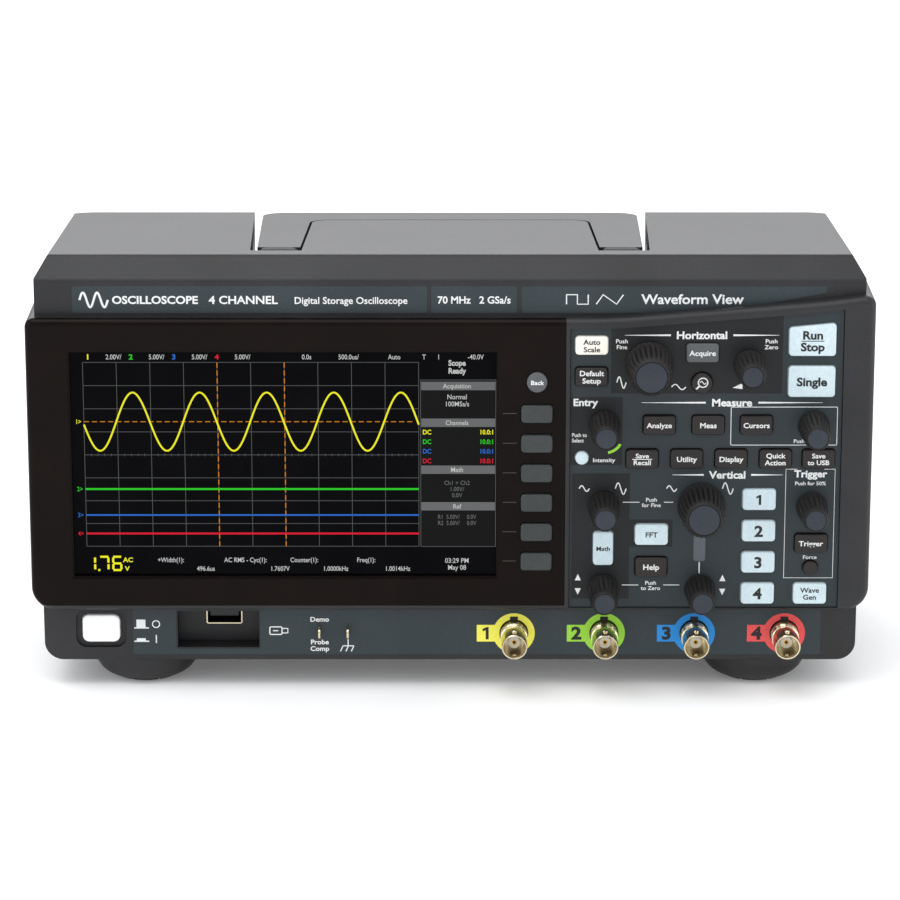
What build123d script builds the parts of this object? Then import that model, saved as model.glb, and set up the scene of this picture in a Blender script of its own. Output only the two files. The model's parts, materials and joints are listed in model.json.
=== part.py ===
"""A bench oscilloscope with a wide display, a key and knob panel and a flip-up carry handle.

Millimetres. X runs to the right as seen from the front, Y from the front to the back and
Z up. The origin is on the standing surface, at the middle of the whole object's footprint.
Depths along Y are counted back from the face of the control overlay, as a maker would
measure them, and back_from_face() turns such a depth into a Y.
"""

from build123d import *
from math import cos, pi, sin
import os

# ---------------------------------------------------------------- overall sizes
WIDTH = 314.0  # across the front frame
HEIGHT = 166.0  # standing surface to the ridge behind the upper strip
KNOB_REACH = 19.7  # the big knobs, ahead of the overlay's face
BODY_DEPTH = 127.3  # overlay's face to the back of the case
FOOT_HEIGHT = 11.0
WALL = 2.5  # case wall
FIT_GAP = 0.2  # between pieces that are fastened together
MOVE_GAP = 0.3  # round pieces that move

FACE_Y = (KNOB_REACH - BODY_DEPTH) / 2


def back_from_face(depth):
    """The Y of a depth that is counted back from the overlay's face."""
    return FACE_Y + depth


# ---------------------------------------------------------------- case
BODY_HALF = WIDTH / 2 - 3.4  # half width of the case behind the frame
BODY_CORNER = 7.0  # radius of the lower long edges
SIDE_DRAFT = 0.6  # how far the sides lean in towards the floor
SHOULDER_DROP = 8.0  # bevel from the shoulder up to the ridge
SHOULDER_IN = 4.7  # how far the top is narrower than the body
TOP_SLOPE = 0.0743  # fall of the top towards the back, per millimetre
REAR_CORNER = 13.0  # plan radius of the two rear corners
EDGE_ROUND = 2.5
BACK_CHAMFER = 1.0
FRAME_PROUD = 1.0  # frame's face ahead of the overlay
STRIP_DEPTH = 5.0  # faces of the upper and lower strips
RIDGE_DEPTH = 13.0  # ridge, and the joint of the two case halves
COLLAR_DEPTH = 35.0  # back of the collar that wraps the case
STRIP_WALL = 3.0
LOWER_STRIP = 21.0  # height of the lower strip
UPPER_STRIP = 13.3  # height of the upper strip, left of the swoop
SWOOP_START = 97.0  # in from the right end, where the frame's top starts to rise
SWOOP_END = 19.0
SWOOP_RISE = 6.3
FRAME_RISE = 8.8  # rise of the frame's top at the right end
SWOOP_ROUND = 200.0
FRAME_CORNER = 9.0
FRAME_TOP_CORNER = 3.5

BACK_Y = back_from_face(BODY_DEPTH)
FRAME_Y = back_from_face(-FRAME_PROUD)
STRIP_Y = back_from_face(STRIP_DEPTH)
STRIP_BACK_Y = STRIP_Y + STRIP_WALL
RIDGE_Y = back_from_face(RIDGE_DEPTH)
COLLAR_BACK_Y = back_from_face(COLLAR_DEPTH)
SHOULDER_Z = HEIGHT - SHOULDER_DROP
FRAME_BOTTOM = FOOT_HEIGHT + LOWER_STRIP
FRAME_TOP = SHOULDER_Z - UPPER_STRIP
FLOOR_Z = FOOT_HEIGHT + WALL

# ---------------------------------------------------------------- display side
BEZEL_THICK = 2.5
BEZEL_LIP = 2.2  # strip of case left showing under the bezel
BEZEL_SEAT = 7.0  # rim of the case that the bezel rests on
CONTROL_WIDTH = 100.6
CONTROL_SIDE = 11.8  # frame to the right of the overlay
RIB = 1.7  # rib between the bezel and the overlay
WINDOW_SIDE = 16.3  # frame's left end to the window
WINDOW_RIGHT = 27.3  # window to the overlay
WINDOW_TOP = 12.7
WINDOW_BOTTOM = 13.4
MODULE_MARGIN = 3.0  # display module outside the window
MODULE_THICK = 7.5

OVERLAY_LEFT = WIDTH / 2 - CONTROL_SIDE - CONTROL_WIDTH
OVERLAY_RIGHT = WIDTH / 2 - CONTROL_SIDE
OVERLAY_BOTTOM = FRAME_BOTTOM + 1.4
OVERLAY_TOP_MARGIN = 4.0
OVERLAY_THICK = 2.0
BEZEL_RIGHT = OVERLAY_LEFT - RIB - FIT_GAP
BEZEL_BACK_Y = FRAME_Y + BEZEL_THICK
WINDOW_X = (-WIDTH / 2 + WINDOW_SIDE, OVERLAY_LEFT - WINDOW_RIGHT)
WINDOW_Z = (FRAME_BOTTOM + WINDOW_BOTTOM, FRAME_TOP - WINDOW_TOP)

# ---------------------------------------------------------------- keys
KEY_PROUD = 1.5  # caps ahead of the face they come through
KEY_TRAVEL = 1.2
KEY_CORNER = 1.3
KEY_FLANGE = 0.8  # rim that keeps a key behind its hole
KEY_FLANGE_THICK = 1.0
KEY_STEM = 1.6
KEY_DOME = 0.5  # rounding of a cap's front edge

# name: middle from the overlay's left edge and its bottom edge, width, height
KEYS = {
    "auto_scale_key": (7.7, 101.3, 12.0, 6.9),
    "default_setup_key": (7.7, 89.4, 12.0, 7.1),
    "acquire_key": (48.6, 98.5, 12.0, 7.1),
    "single_key": (89.1, 87.6, 17.3, 11.7),
    "analyze_key": (33.0, 70.9, 12.0, 7.3),
    "measure_key": (51.1, 70.9, 12.0, 7.3),
    "cursors_key": (69.0, 70.9, 12.0, 7.3),
    "save_recall_key": (26.8, 57.9, 12.0, 7.3),
    "utility_key": (43.3, 57.9, 12.0, 7.3),
    "display_key": (59.8, 57.9, 12.0, 7.3),
    "quick_action_key": (76.3, 57.9, 12.0, 7.3),
    "save_usb_key": (92.3, 57.9, 12.0, 7.3),
    "math_key": (12.6, 23.2, 7.4, 12.9),
    "fft_key": (30.6, 28.6, 12.3, 8.0),
    "help_key": (30.6, 16.0, 12.0, 7.5),
    "trigger_key": (90.2, 25.2, 12.2, 7.3),
    "wave_gen_key": (90.2, 5.6, 12.4, 8.0),
}
ROUND_KEYS = {  # the same, with a diameter
    "zoom_key": (48.6, 87.0, 7.8),
    "intensity_key": (4.4, 58.2, 4.9),
    "force_key": (90.2, 15.5, 5.6),
}
RUN_STOP = (89.1, 103.6, 17.3, 12.4)
RUN_STOP_SLANT = 1.7  # fall of its top edge towards the left
CHANNEL_KEY = (70.6, 5.6, 12.4, 8.0)  # the lowest of the column
CHANNEL_PITCH = 12.2
CHANNELS = 4
SOFTKEY = (-12.4, 18.3, 11.7, 6.7)  # the lowest, left of the overlay
SOFTKEY_PITCH = 11.42
SOFTKEYS = 6
BACK_KEY = (-12.4, 87.5, 7.6)

# ---------------------------------------------------------------- knobs
SMALL_REACH = 19.0
KNOB_GAP = 0.4  # knob's base off the overlay
SHAFT_R = 3.0
SHAFT_FIT = 0.05  # radial running clearance
SHAFT_END = 7.0  # depth that the shafts reach
BIG_KNOB = (8.9, 7.6, 6.05)  # radius at the base, at the shoulder and of the disc
SMALL_KNOB = (5.9, 4.95, 3.65)
BIG_FLUTES = 24
SMALL_FLUTES = 18
FLUTE_R = 0.55
KNOBS = {
    "horizontal_scale_knob": (29.0, 93.8, BIG_KNOB),
    "horizontal_position_knob": (66.0, 93.8, SMALL_KNOB),
    "entry_knob": (12.7, 70.5, SMALL_KNOB),
    "cursors_knob": (90.3, 70.5, SMALL_KNOB),
    "math_scale_knob": (12.7, 39.4, SMALL_KNOB),
    "vertical_scale_knob": (49.1, 39.6, BIG_KNOB),
    "trigger_level_knob": (90.3, 39.2, SMALL_KNOB),
    "math_position_knob": (12.7, 7.0, SMALL_KNOB),
    "vertical_position_knob": (49.1, 7.0, SMALL_KNOB),
}

# ---------------------------------------------------------------- behind the panel
MAT_DEPTH = 6.0
MAT_THICK = 1.2
PANEL_DEPTH = 8.0  # front of the panel's circuit board
BOARD_THICK = 1.6
ENCODER = 11.5  # side of an encoder's body
ENCODER_FRONT = 3.2
PANEL_EDGE = 0.8  # board and mat inside the overlay's outline
PANEL_SIDE = 3.2  # and clear of the screw bosses at its right
MAIN_FRONT = 17.5  # front edge of the main board

# ---------------------------------------------------------------- lower strip
POWER_X = -WIDTH / 2 + 25.4
POWER_Z = FOOT_HEIGHT + 12.3
POWER_SIZE = (14.1, 10.7)
POWER_WELL = (19.0, 15.0)
POWER_WELL_DEPTH = 1.6
POWER_TRAVEL = 3.0
USB_X = (-WIDTH / 2 + 54.2, -WIDTH / 2 + 85.0)  # pocket for a memory stick
USB_Z = (FOOT_HEIGHT + 4.8, FOOT_HEIGHT + 19.1)
USB_POCKET = 9.0
USB_SHELL = (13.6, 6.0)
USB_SHELL_WALL = 0.4
USB_SHELL_X = -WIDTH / 2 + 71.4
USB_SHELL_Z = FOOT_HEIGHT + 14.2
USB_SHELL_LENGTH = 14.0
LUGS_X = (-WIDTH / 2 + 107.8, -WIDTH / 2 + 118.5)
LUG_SLOT = (1.4, 5.2)
LUG_Z = FOOT_HEIGHT + 11.5
LUG_REACH = 5.5
BNC_X = WIDTH / 2 - 30.9  # the right-hand input
BNC_PITCH = 34.0
BNC_Z = FOOT_HEIGHT + 10.4
BNC_R = 4.8
BNC_BORE = 4.05
BNC_BORE_DEPTH = 12.0
BNC_CORE = 2.35  # radius of the insulated core
BNC_CORE_DEPTH = 6.0  # its face behind the rim
BNC_CONTACT_R = 0.7
BNC_REACH = 17.5
BNC_MATING = 10.5  # length that a plug slides over
BNC_ROOT_R = 5.1  # thicker behind that
BNC_BLOCK = 14.0
BNC_HOLE = 5.35
BNC_KEYWAY = 3.0

# ---------------------------------------------------------------- handle
HANDLE_FRONT_HALF = 72.0
HANDLE_BACK_HALF = 74.0
ARM_FRONT_INNER = 56.3
ARM_BACK_INNER = 54.5
HANDLE_END_R = 6.6
HANDLE_BACK_DEPTH = 125.0
GRIP = 20.1  # front to back across the crossbar
HANDLE_THICK = 10.5
HINGE_DEPTH = 31.1
PIN_R = 2.5
PIN_LENGTH = 5.0
PIN_FIT = 0.05
WELL_GAP = 0.9  # handle to the plateau between its arms
WELL_FRONT_GAP = 1.6
SLOT_FRONT = 2.4  # open slot outside the arms, front and back
SLOT_BACK = 3.6
FINGER_ROOM = 11.0
HINGE_Y = back_from_face(HINGE_DEPTH)
HANDLE_BACK_Y = back_from_face(HANDLE_BACK_DEPTH)


def top_z(y):
    """Height of the sloping top."""
    return HEIGHT - TOP_SLOPE * (y - RIDGE_Y)


HINGE_Z = top_z(HINGE_Y) - HANDLE_END_R - 0.1
WELL_FRONT_Y = HINGE_Y - HANDLE_END_R - WELL_FRONT_GAP
WELL_FLOOR_FRONT = HINGE_Z - HANDLE_END_R - 0.8
WELL_FLOOR_BACK = top_z(BACK_Y) - HANDLE_THICK - FINGER_ROOM

# ---------------------------------------------------------------- feet
FOOT_X = WIDTH / 2 - 41.0
FRONT_FOOT_DEPTH = 25.0
REAR_FOOT_DEPTH = BODY_DEPTH - 22.0
FOOT_TOP_R = 20.25
SOLE_R = 12.0
REAR_SOLE_R = 9.0
PAD_THICK = 0.8
LEG_WIDTH = 10.0
LEG_THICK = 4.4
LEG_LENGTH = 23.0
LEG_PIN_R = 1.4
LEG_PIN_BACK = 8.5  # pin ahead of the foot's middle
LEG_Z = 3.4

# ---------------------------------------------------------------- inside and back
PILLAR_X = BODY_HALF - 6.3
PILLAR_Z = (FOOT_HEIGHT + 7.5, FRAME_TOP - 4.7)
PILLAR_R = 4.6
PILLAR_BORE = 3.7
PILLAR_SEAT = RIDGE_DEPTH  # depth where the two halves' pillars meet
SCREW_R = 2.0
SCREW_HEAD_R = 3.4
SCREW_FLOOR = 3.0
SCREW_LENGTH = 8.5
BOARD_Z = FLOOR_Z + 1.0
SUPPLY_RIGHT = -WIDTH / 2 + 51.0
FAN = 60.0
FAN_THICK = 15.0
FAN_X = -30.0
FAN_Z = FLOOR_Z + 60.0
FAN_HUB_R = 11.0
FAN_BORE_R = 28.0
FAN_SHAFT_R = 1.5
BLADES = 7
INLET_X = -WIDTH / 2 + 31.0
INLET_Z = FLOOR_Z + 22.0
INLET = (27.4, 20.0)
LAN_X = WIDTH / 2 - 81.9
LAN = (16.0, 13.6)
USB_B_X = WIDTH / 2 - 48.0
USB_B = (12.0, 11.0)
SOCKET_FLOOR = 3.0  # thickness behind the hollow of the three rear sockets
INLET_SHELL = (18.0, 1.5)  # depth and wall
LAN_SHELL = (16.0, 1.2)
USB_B_SHELL = (15.0, 1.0)
INLET_PINS = ((-7, -2), (0, 2), (7, -2))  # from the inlet's middle
INLET_PIN_Y = (BACK_Y - 16.5, BACK_Y - 4.0)
FAN_WEB = 2.5  # thickness of the hub plate and its struts
FAN_BEARING_R = 3.5
FAN_BEARING_LENGTH = 9.0
FAN_CORNER = 25.0  # corner holes from the middle
FAN_CORNER_R = 2.2
BLADE = (1.2, 9.0)  # thickness and width
BLADE_TWIST = 52
VENTS = 13  # slots in each side
VENT_DEPTH = 48.0  # the first
VENT_PITCH = 5.0
VENT_SLOT = 2.4
VENT_Z = (45.0, FRAME_TOP - 40.0)
HEAT_SINK_X = (-20.0, 25.0)
HEAT_SINK_DEPTH = (62.0, 102.0)
HEAT_SINK_BASE = 4.0
FINS = 9
FIN_HEIGHT = 16.0
FIN_THICK = 1.5
FIN_PITCH = 5.0
INPUT_SHIELD = (26.0, 9.0)  # width and height of each input stage's shield
INPUT_SHIELD_DEPTH = (28.0, 58.0)
TRANSFORMER = (28.0, 26.0)  # width and height
TRANSFORMER_DEPTH = (48.0, 76.0)
SWITCH = (14.0, 16.0, 14.0)  # width, depth and height
CAN = (7.0, 24.0)  # radius and height of each capacitor
CAN_OFFSET = 9.0
CAN_DEPTH = 90.0


# ================================================================ helpers
def polygon(*points):
    """A face through the points, wound the same way whichever way they are listed."""
    pairs = zip(points, points[1:] + points[:1])
    area = sum(x0 * y1 - x1 * y0 for (x0, y0), (x1, y1) in pairs)
    ordered = points if area > 0 else points[::-1]
    return Polygon(*ordered, align=None)


def block(x, y, z):
    """A box between two X, two Y and two Z."""
    low, high = zip(x, y, z)
    size = [b - a for a, b in zip(low, high)]
    middle = [(a + b) / 2 for a, b in zip(low, high)]
    return Pos(*middle) * Box(*size)


def along_y(outline, front, back):
    """A prism along Y from an outline drawn in X and Z."""
    plane = Plane((0, back, 0), x_dir=(1, 0, 0), z_dir=(0, -1, 0))
    return extrude(plane * outline, amount=back - front)


def along_x(outline, left, right):
    """A prism along X from an outline drawn in Y and Z."""
    return extrude(Plane.YZ.offset(left) * outline, amount=right - left)


def along_z(outline, low, high):
    """A prism along Z from an outline drawn in X and Y."""
    return extrude(Plane.XY.offset(low) * outline, amount=high - low)


def rod_y(x, z, radius, front, back):
    return along_y(Pos(x, z) * Circle(radius), front, back)


def rod_x(y, z, radius, left, right):
    return along_x(Pos(y, z) * Circle(radius), left, right)


def mirrored(shape):
    """The shape and its mirror image in the middle plane."""
    return shape + mirror(shape, about=Plane.YZ)


def panel_point(spot):
    """X and Z of a place on the control panel."""
    return OVERLAY_LEFT + spot[0], OVERLAY_BOTTOM + spot[1]


# ================================================================ case
def body_section(inset, top):
    """Cross-section of the case's lower part."""
    half = BODY_HALF - inset
    bottom = FOOT_HEIGHT + inset
    foot_half = half - SIDE_DRAFT
    outline = polygon((-foot_half, bottom), (foot_half, bottom), (half, top), (-half, top))
    corners = outline.vertices().sort_by(Axis.Y)[:2]
    return fillet(corners, BODY_CORNER - inset)


def top_section(inset, y):
    """Cross-section of the case's upper part at one Y."""
    half = BODY_HALF - inset
    shoulder = top_z(y) - SHOULDER_DROP
    return polygon(
        (-half, FRAME_BOTTOM + SHOULDER_DROP + 20),
        (half, FRAME_BOTTOM + SHOULDER_DROP + 20),
        (half, shoulder),
        (half - SHOULDER_IN, top_z(y) - inset),
        (SHOULDER_IN - half, top_z(y) - inset),
        (-half, shoulder),
    )


def body(inset, front, back, corner):
    """The case's block, whose top falls towards the back, with rounded rear corners."""
    length = back - front
    lower = along_y(body_section(inset, FRAME_TOP - 30), front, back)
    plane = Plane((0, front, 0), x_dir=(1, 0, 0), z_dir=(0, -1, 0))
    slope = Vector(0, 1, -TOP_SLOPE)
    upper = extrude(plane * top_section(inset, front), amount=length * slope.length, dir=slope)
    half = BODY_HALF - inset
    plan = polygon((-half, front), (half, front), (half, back), (-half, back))
    plan = fillet(plan.vertices().sort_by(Axis.Y)[2:], corner)
    return (lower + upper) & along_z(plan, 0, HEIGHT + SHOULDER_DROP)


def bevel(inset):
    """What the bevel between the upper strip and the ridge cuts off."""
    shift = inset * 0.7
    front, back = STRIP_Y + shift, RIDGE_Y + shift
    low, high = SHOULDER_Z - shift, HEIGHT - shift
    outline = polygon((front - 9, low - 9), (back + 9, high + 9), (front - 9, HEIGHT + 40))
    return along_x(outline, -WIDTH, WIDTH)


def outer_body():
    """The whole case from outside, with the bevel and ridge along its front."""
    shape = body(0, STRIP_Y, BACK_Y, REAR_CORNER) - bevel(0)
    edges = shape.edges().filter_by(Axis.X)
    ridge = [e for e in edges if abs(e.center().Z - HEIGHT) < 1 and e.center().Y < 0]
    brow = [e for e in edges if abs(e.center().Z - SHOULDER_Z) < 1 and e.center().Y < 0]
    return fillet(ridge + brow, EDGE_ROUND)


def plateau(inset):
    """The fixed part of the top between the handle's arms, in plan."""
    front_half = ARM_FRONT_INNER - WELL_GAP - inset
    back_half = ARM_BACK_INNER - WELL_GAP - inset
    back = HANDLE_BACK_Y - GRIP - WELL_GAP - inset
    outline = polygon(
        (-front_half, WELL_FRONT_Y - 5),
        (front_half, WELL_FRONT_Y - 5),
        (back_half, back),
        (-back_half, back),
    )
    return fillet(outline.vertices().sort_by(Axis.Y)[2:], 7.0)


def handle_well(wall):
    """The sunk space that the folded handle lies in, open at the back."""
    front_half = HANDLE_FRONT_HALF + SLOT_FRONT + wall
    back_half = HANDLE_BACK_HALF + SLOT_BACK + wall
    front = WELL_FRONT_Y - wall
    back = BACK_Y + 1
    plan = polygon(
        (-front_half, front), (front_half, front), (back_half, back), (-back_half, back))
    side = polygon(
        (front, WELL_FLOOR_FRONT - wall),
        (back, WELL_FLOOR_BACK - wall),
        (back, HEIGHT + 10),
        (front, HEIGHT + 10),
    )
    space = along_z(plan, 0, HEIGHT + 10) & along_x(side, -WIDTH, WIDTH)
    return space - along_z(plateau(wall), 0, HEIGHT + 20)


def frame_outline(inset=0.0):
    """The front frame, whose top edge sweeps up to the right."""
    half = WIDTH / 2 - inset
    top = FRAME_TOP - inset
    outline = polygon(
        (-half, FRAME_BOTTOM + inset),
        (half, FRAME_BOTTOM + inset),
        (half, top + FRAME_RISE),
        (WIDTH / 2 - SWOOP_END, top + SWOOP_RISE),
        (WIDTH / 2 - SWOOP_START, top),
        (-half, top),
    )
    low = outline.vertices().sort_by(Axis.Y)[:2]
    outline = fillet(low, FRAME_CORNER - inset)
    ends = [v for v in outline.vertices() if abs(v.X) > half - 1 and v.Y > top - 1]
    outline = fillet(ends, max(FRAME_TOP_CORNER - inset, 0.5))
    start, end = WIDTH / 2 - SWOOP_START, WIDTH / 2 - SWOOP_END
    bends = [v for v in outline.vertices() if min(abs(v.X - start), abs(v.X - end)) < 0.1]
    return fillet([v for v in bends if v.Y > top - 1], SWOOP_ROUND)


def rounded_frame():
    """The frame as one block, with its front edge rounded."""
    frame = along_y(frame_outline(), FRAME_Y, COLLAR_BACK_Y)
    front = frame.faces().sort_by(Axis.Y)[0]
    return fillet(front.edges(), EDGE_ROUND)


def overlay_outline(grow):
    """The control overlay, which keeps an even margin under the frame's top."""
    right = OVERLAY_RIGHT + grow
    left = OVERLAY_LEFT - grow
    bottom = OVERLAY_BOTTOM - grow
    split = (FRAME_BOTTOM + FRAME_TOP) / 2
    upper = polygon((left, split), (right, split), (right, HEIGHT), (left, HEIGHT))
    lower = polygon((left, bottom), (right, bottom), (right, split), (left, split))
    return (frame_outline(OVERLAY_TOP_MARGIN - grow) & upper) + lower


def snap_tabs(grow):
    """Four tabs that hold the overlay in the frame."""
    tabs = Part()
    for low in (32.0, 69.0):
        z = (OVERLAY_BOTTOM + low - grow, OVERLAY_BOTTOM + low + 4.6 + grow)
        y = (FACE_Y + 0.8 - grow, FACE_Y + OVERLAY_THICK + grow)
        tabs += block((OVERLAY_LEFT - 0.9 - grow, OVERLAY_LEFT + 0.5), y, z)
        tabs += block((OVERLAY_RIGHT - 0.5, OVERLAY_RIGHT + 0.9 + grow), y, z)
    return tabs


def front_case():
    """Front moulding: both strips, the frame and the collar that wraps the case."""
    whole = outer_body() & block((-WIDTH, WIDTH), (STRIP_Y - 1, RIDGE_Y), (0, HEIGHT + 1))
    shape = whole + rounded_frame()
    shape -= body(WALL, STRIP_BACK_Y, BACK_Y, REAR_CORNER - WALL) - bevel(WALL)
    behind = body(-FIT_GAP, STRIP_Y, BACK_Y + 1, REAR_CORNER)
    shape -= behind & block((-WIDTH, WIDTH), (RIDGE_Y, BACK_Y + 2), (0, HEIGHT + 9))
    # room behind the bezel's seat, and the overlay's opening
    shape -= along_y(frame_outline(WALL), back_from_face(4.0), RIDGE_Y) & block(
        (-BODY_HALF + WALL, BODY_HALF - WALL), (FRAME_Y, RIDGE_Y), (0, HEIGHT)
    )
    seat_z = (FRAME_BOTTOM + BEZEL_LIP, HEIGHT)
    seat_x = (-WIDTH, BEZEL_RIGHT + FIT_GAP)
    shape -= block(seat_x, (FRAME_Y - 1, BEZEL_BACK_Y), seat_z) & along_y(
        frame_outline(-1), FRAME_Y - 1, BEZEL_BACK_Y
    )
    hole_x = (-WIDTH / 2 + BEZEL_SEAT, BEZEL_RIGHT - 1.0)
    hole_z = (FRAME_BOTTOM + BEZEL_SEAT, FRAME_TOP - BEZEL_SEAT + 2)
    shape -= block(hole_x, (FRAME_Y, RIDGE_Y), hole_z)
    shape -= along_y(overlay_outline(FIT_GAP), FRAME_Y - 1, RIDGE_Y)
    rib_x = (BEZEL_RIGHT + FIT_GAP, OVERLAY_LEFT - FIT_GAP)
    rib_y = (FRAME_Y, back_from_face(PANEL_DEPTH - 0.1))
    shape += block(rib_x, rib_y, (FRAME_BOTTOM + WALL, FRAME_TOP - WALL))
    shape -= snap_tabs(0.1)
    # power button's well and hole
    well = Pos(POWER_X, POWER_Z) * RectangleRounded(*POWER_WELL, 4.0)
    shape -= along_y(well, STRIP_Y - 1, STRIP_Y + POWER_WELL_DEPTH)
    hole = [side + 2 * MOVE_GAP for side in POWER_SIZE]
    hole = Pos(POWER_X, POWER_Z) * RectangleRounded(*hole, 2.5 + MOVE_GAP)
    shape -= along_y(hole, STRIP_Y - 1, STRIP_BACK_Y + 1)
    # pocket for a memory stick
    pocket_y = (STRIP_Y - 1, STRIP_Y + USB_POCKET)
    shape += block(
        (USB_X[0] - WALL, USB_X[1] + WALL),
        (STRIP_Y + 0.5, STRIP_Y + USB_POCKET + 2),
        (USB_Z[0] - 1.5, USB_Z[1] + 1.5),
    )
    shape -= block(USB_X, pocket_y, USB_Z)
    shell = Pos(USB_SHELL_X, USB_SHELL_Z) * Rectangle(USB_SHELL[0] + 0.4, USB_SHELL[1] + 0.4)
    shape -= along_y(shell, STRIP_Y, STRIP_Y + USB_POCKET + 3)
    for x in LUGS_X:
        slot = Pos(x, LUG_Z) * Rectangle(*LUG_SLOT)
        shape -= along_y(slot, STRIP_Y - 1, STRIP_BACK_Y + 1)
    for number in range(CHANNELS):
        x = BNC_X - number * BNC_PITCH
        shape -= rod_y(x, BNC_Z, BNC_HOLE, STRIP_Y - 1, STRIP_BACK_Y + 1)
        notch_z = (BNC_Z, BNC_Z + BNC_HOLE + 1.2)
        notch_x = (x - BNC_KEYWAY / 2, x + BNC_KEYWAY / 2)
        shape -= block(notch_x, (STRIP_Y - 1, STRIP_BACK_Y + 1), notch_z)
    # bosses that the case screws bite into
    for x in (-PILLAR_X, PILLAR_X):
        for z in PILLAR_Z:
            shape += rod_y(x, z, PILLAR_R, STRIP_BACK_Y - 2, back_from_face(PILLAR_SEAT))
            shape -= rod_y(x, z, SCREW_R + 0.05, STRIP_BACK_Y - 1, BACK_Y)
    return shape


def grille(x, z, y):
    """Ring slots of the fan's grille, with four spokes left in."""
    slots = Part()
    for number in range(4):
        radius = 8.0 + number * 6.3
        slots += rod_y(x, z, radius + 1.8, *y) - rod_y(x, z, radius - 1.8, *y)
    spokes = Rectangle(FAN, 3.0) + Rectangle(3.0, FAN)
    return slots - along_y(Pos(x, z) * Rot(0, 0, 45) * spokes, *y)


def front_foot(x):
    """A bowl-shaped foot with a slot for its tilt leg."""
    height = FOOT_HEIGHT - PAD_THICK
    round_part = Pos(SOLE_R, FOOT_HEIGHT) * Ellipse(FOOT_TOP_R - SOLE_R, height)
    corner = polygon(
        (0, PAD_THICK), (FOOT_TOP_R, PAD_THICK), (FOOT_TOP_R, FOOT_HEIGHT), (0, FOOT_HEIGHT))
    core = Pos(SOLE_R / 2, PAD_THICK + height / 2) * Rectangle(SOLE_R, height)
    profile = Plane.XZ * (core + (round_part & corner))
    return Pos(x, back_from_face(FRONT_FOOT_DEPTH), 0) * revolve(profile, Axis.Z)


def leg_slot(x, grow, low):
    """Space of a folded tilt leg, seen from below as a slot in the foot."""
    half = LEG_WIDTH / 2 + grow
    pin_y = back_from_face(FRONT_FOOT_DEPTH - LEG_PIN_BACK)
    front = pin_y - LEG_THICK / 2 - grow
    back = pin_y + LEG_LENGTH + grow
    return block((x - half, x + half), (front, back), (low, LEG_Z + LEG_THICK / 2 + 1.0))


def leg_pin(x, radius, extra):
    half = LEG_WIDTH / 2 + extra
    y = back_from_face(FRONT_FOOT_DEPTH - LEG_PIN_BACK)
    return rod_x(y, LEG_Z, radius, x - half, x + half)


def rear_case():
    """Rear moulding: top, sides, floor, back and the feet."""
    everything = (0, HEIGHT + 1)
    shape = outer_body() & block((-WIDTH, WIDTH), (RIDGE_Y, BACK_Y + 1), everything)
    back_edges = shape.faces().sort_by(Axis.Y)[-1].edges()
    shape = chamfer(back_edges, BACK_CHAMFER)
    cavity = body(WALL, RIDGE_Y - 1, BACK_Y - WALL, REAR_CORNER - WALL)
    cavity &= block((-WIDTH, WIDTH), (RIDGE_Y - 1, BACK_Y), everything)
    cavity -= handle_well(WALL) + bevel(WALL)
    shape -= cavity
    shape -= handle_well(0)
    bosses = rod_x(HINGE_Y, HINGE_Z, PIN_R + 3.0, ARM_FRONT_INNER - 9.0, ARM_FRONT_INNER - 2.5)
    shape += mirrored(bosses)
    bores = rod_x(HINGE_Y, HINGE_Z, PIN_R + PIN_FIT, ARM_FRONT_INNER - 7.0, ARM_FRONT_INNER)
    shape -= mirrored(bores)
    # back panel
    wall_y = (BACK_Y - WALL - 1, BACK_Y + 1)
    shape -= grille(FAN_X, FAN_Z, wall_y)
    for x, z, size in rear_cutouts():
        grown = Rectangle(size[0] + 2 * FIT_GAP, size[1] + 2 * FIT_GAP)
        shape -= along_y(Pos(x, z) * grown, *wall_y)
    lock = Pos(WIDTH / 2 - 30, FLOOR_Z + 45) * SlotOverall(7.4, 3.2)
    shape -= along_y(lock, *wall_y)
    # vents in the two sides
    vents = Part()
    for number in range(VENTS):
        y = back_from_face(VENT_DEPTH + number * VENT_PITCH)
        vents += block((BODY_HALF - WALL - 1, BODY_HALF + 1), (y, y + VENT_SLOT), VENT_Z)
    shape -= mirrored(vents)
    # pillars for the case screws
    seat = back_from_face(PILLAR_SEAT)
    for x in (-PILLAR_X, PILLAR_X):
        for z in PILLAR_Z:
            shape += rod_y(x, z, PILLAR_R, seat, BACK_Y - WALL)
            shape -= rod_y(x, z, PILLAR_BORE, seat + SCREW_FLOOR, BACK_Y + 1)
            shape -= rod_y(x, z, SCREW_R + 0.2, seat - 1, seat + SCREW_FLOOR + 1)
    # stand-offs under both circuit boards
    for x, y in standoffs():
        shape += Pos(x, y, FLOOR_Z + 0.5) * Cylinder(3.5, 1.0)
    # feet
    rear_foot = loft(
        [
            Plane.XY.offset(PAD_THICK) * Circle(REAR_SOLE_R),
            Plane.XY.offset(FOOT_HEIGHT) * Circle(REAR_SOLE_R + 4),
        ]
    )
    for x in (-FOOT_X, FOOT_X):
        shape += front_foot(x)
        shape -= leg_slot(x, MOVE_GAP, 0)
        shape -= leg_pin(x, LEG_PIN_R + PIN_FIT, 2.5)
        shape += Pos(x, back_from_face(REAR_FOOT_DEPTH), 0) * rear_foot
    return shape


def rear_cutouts():
    """Middle and size of each square opening in the back."""
    lift = BOARD_Z + BOARD_THICK
    return (
        (INLET_X, INLET_Z, INLET),
        (LAN_X, lift + LAN[1] / 2, LAN),
        (USB_B_X, lift + USB_B[1] / 2, USB_B),
    )


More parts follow.
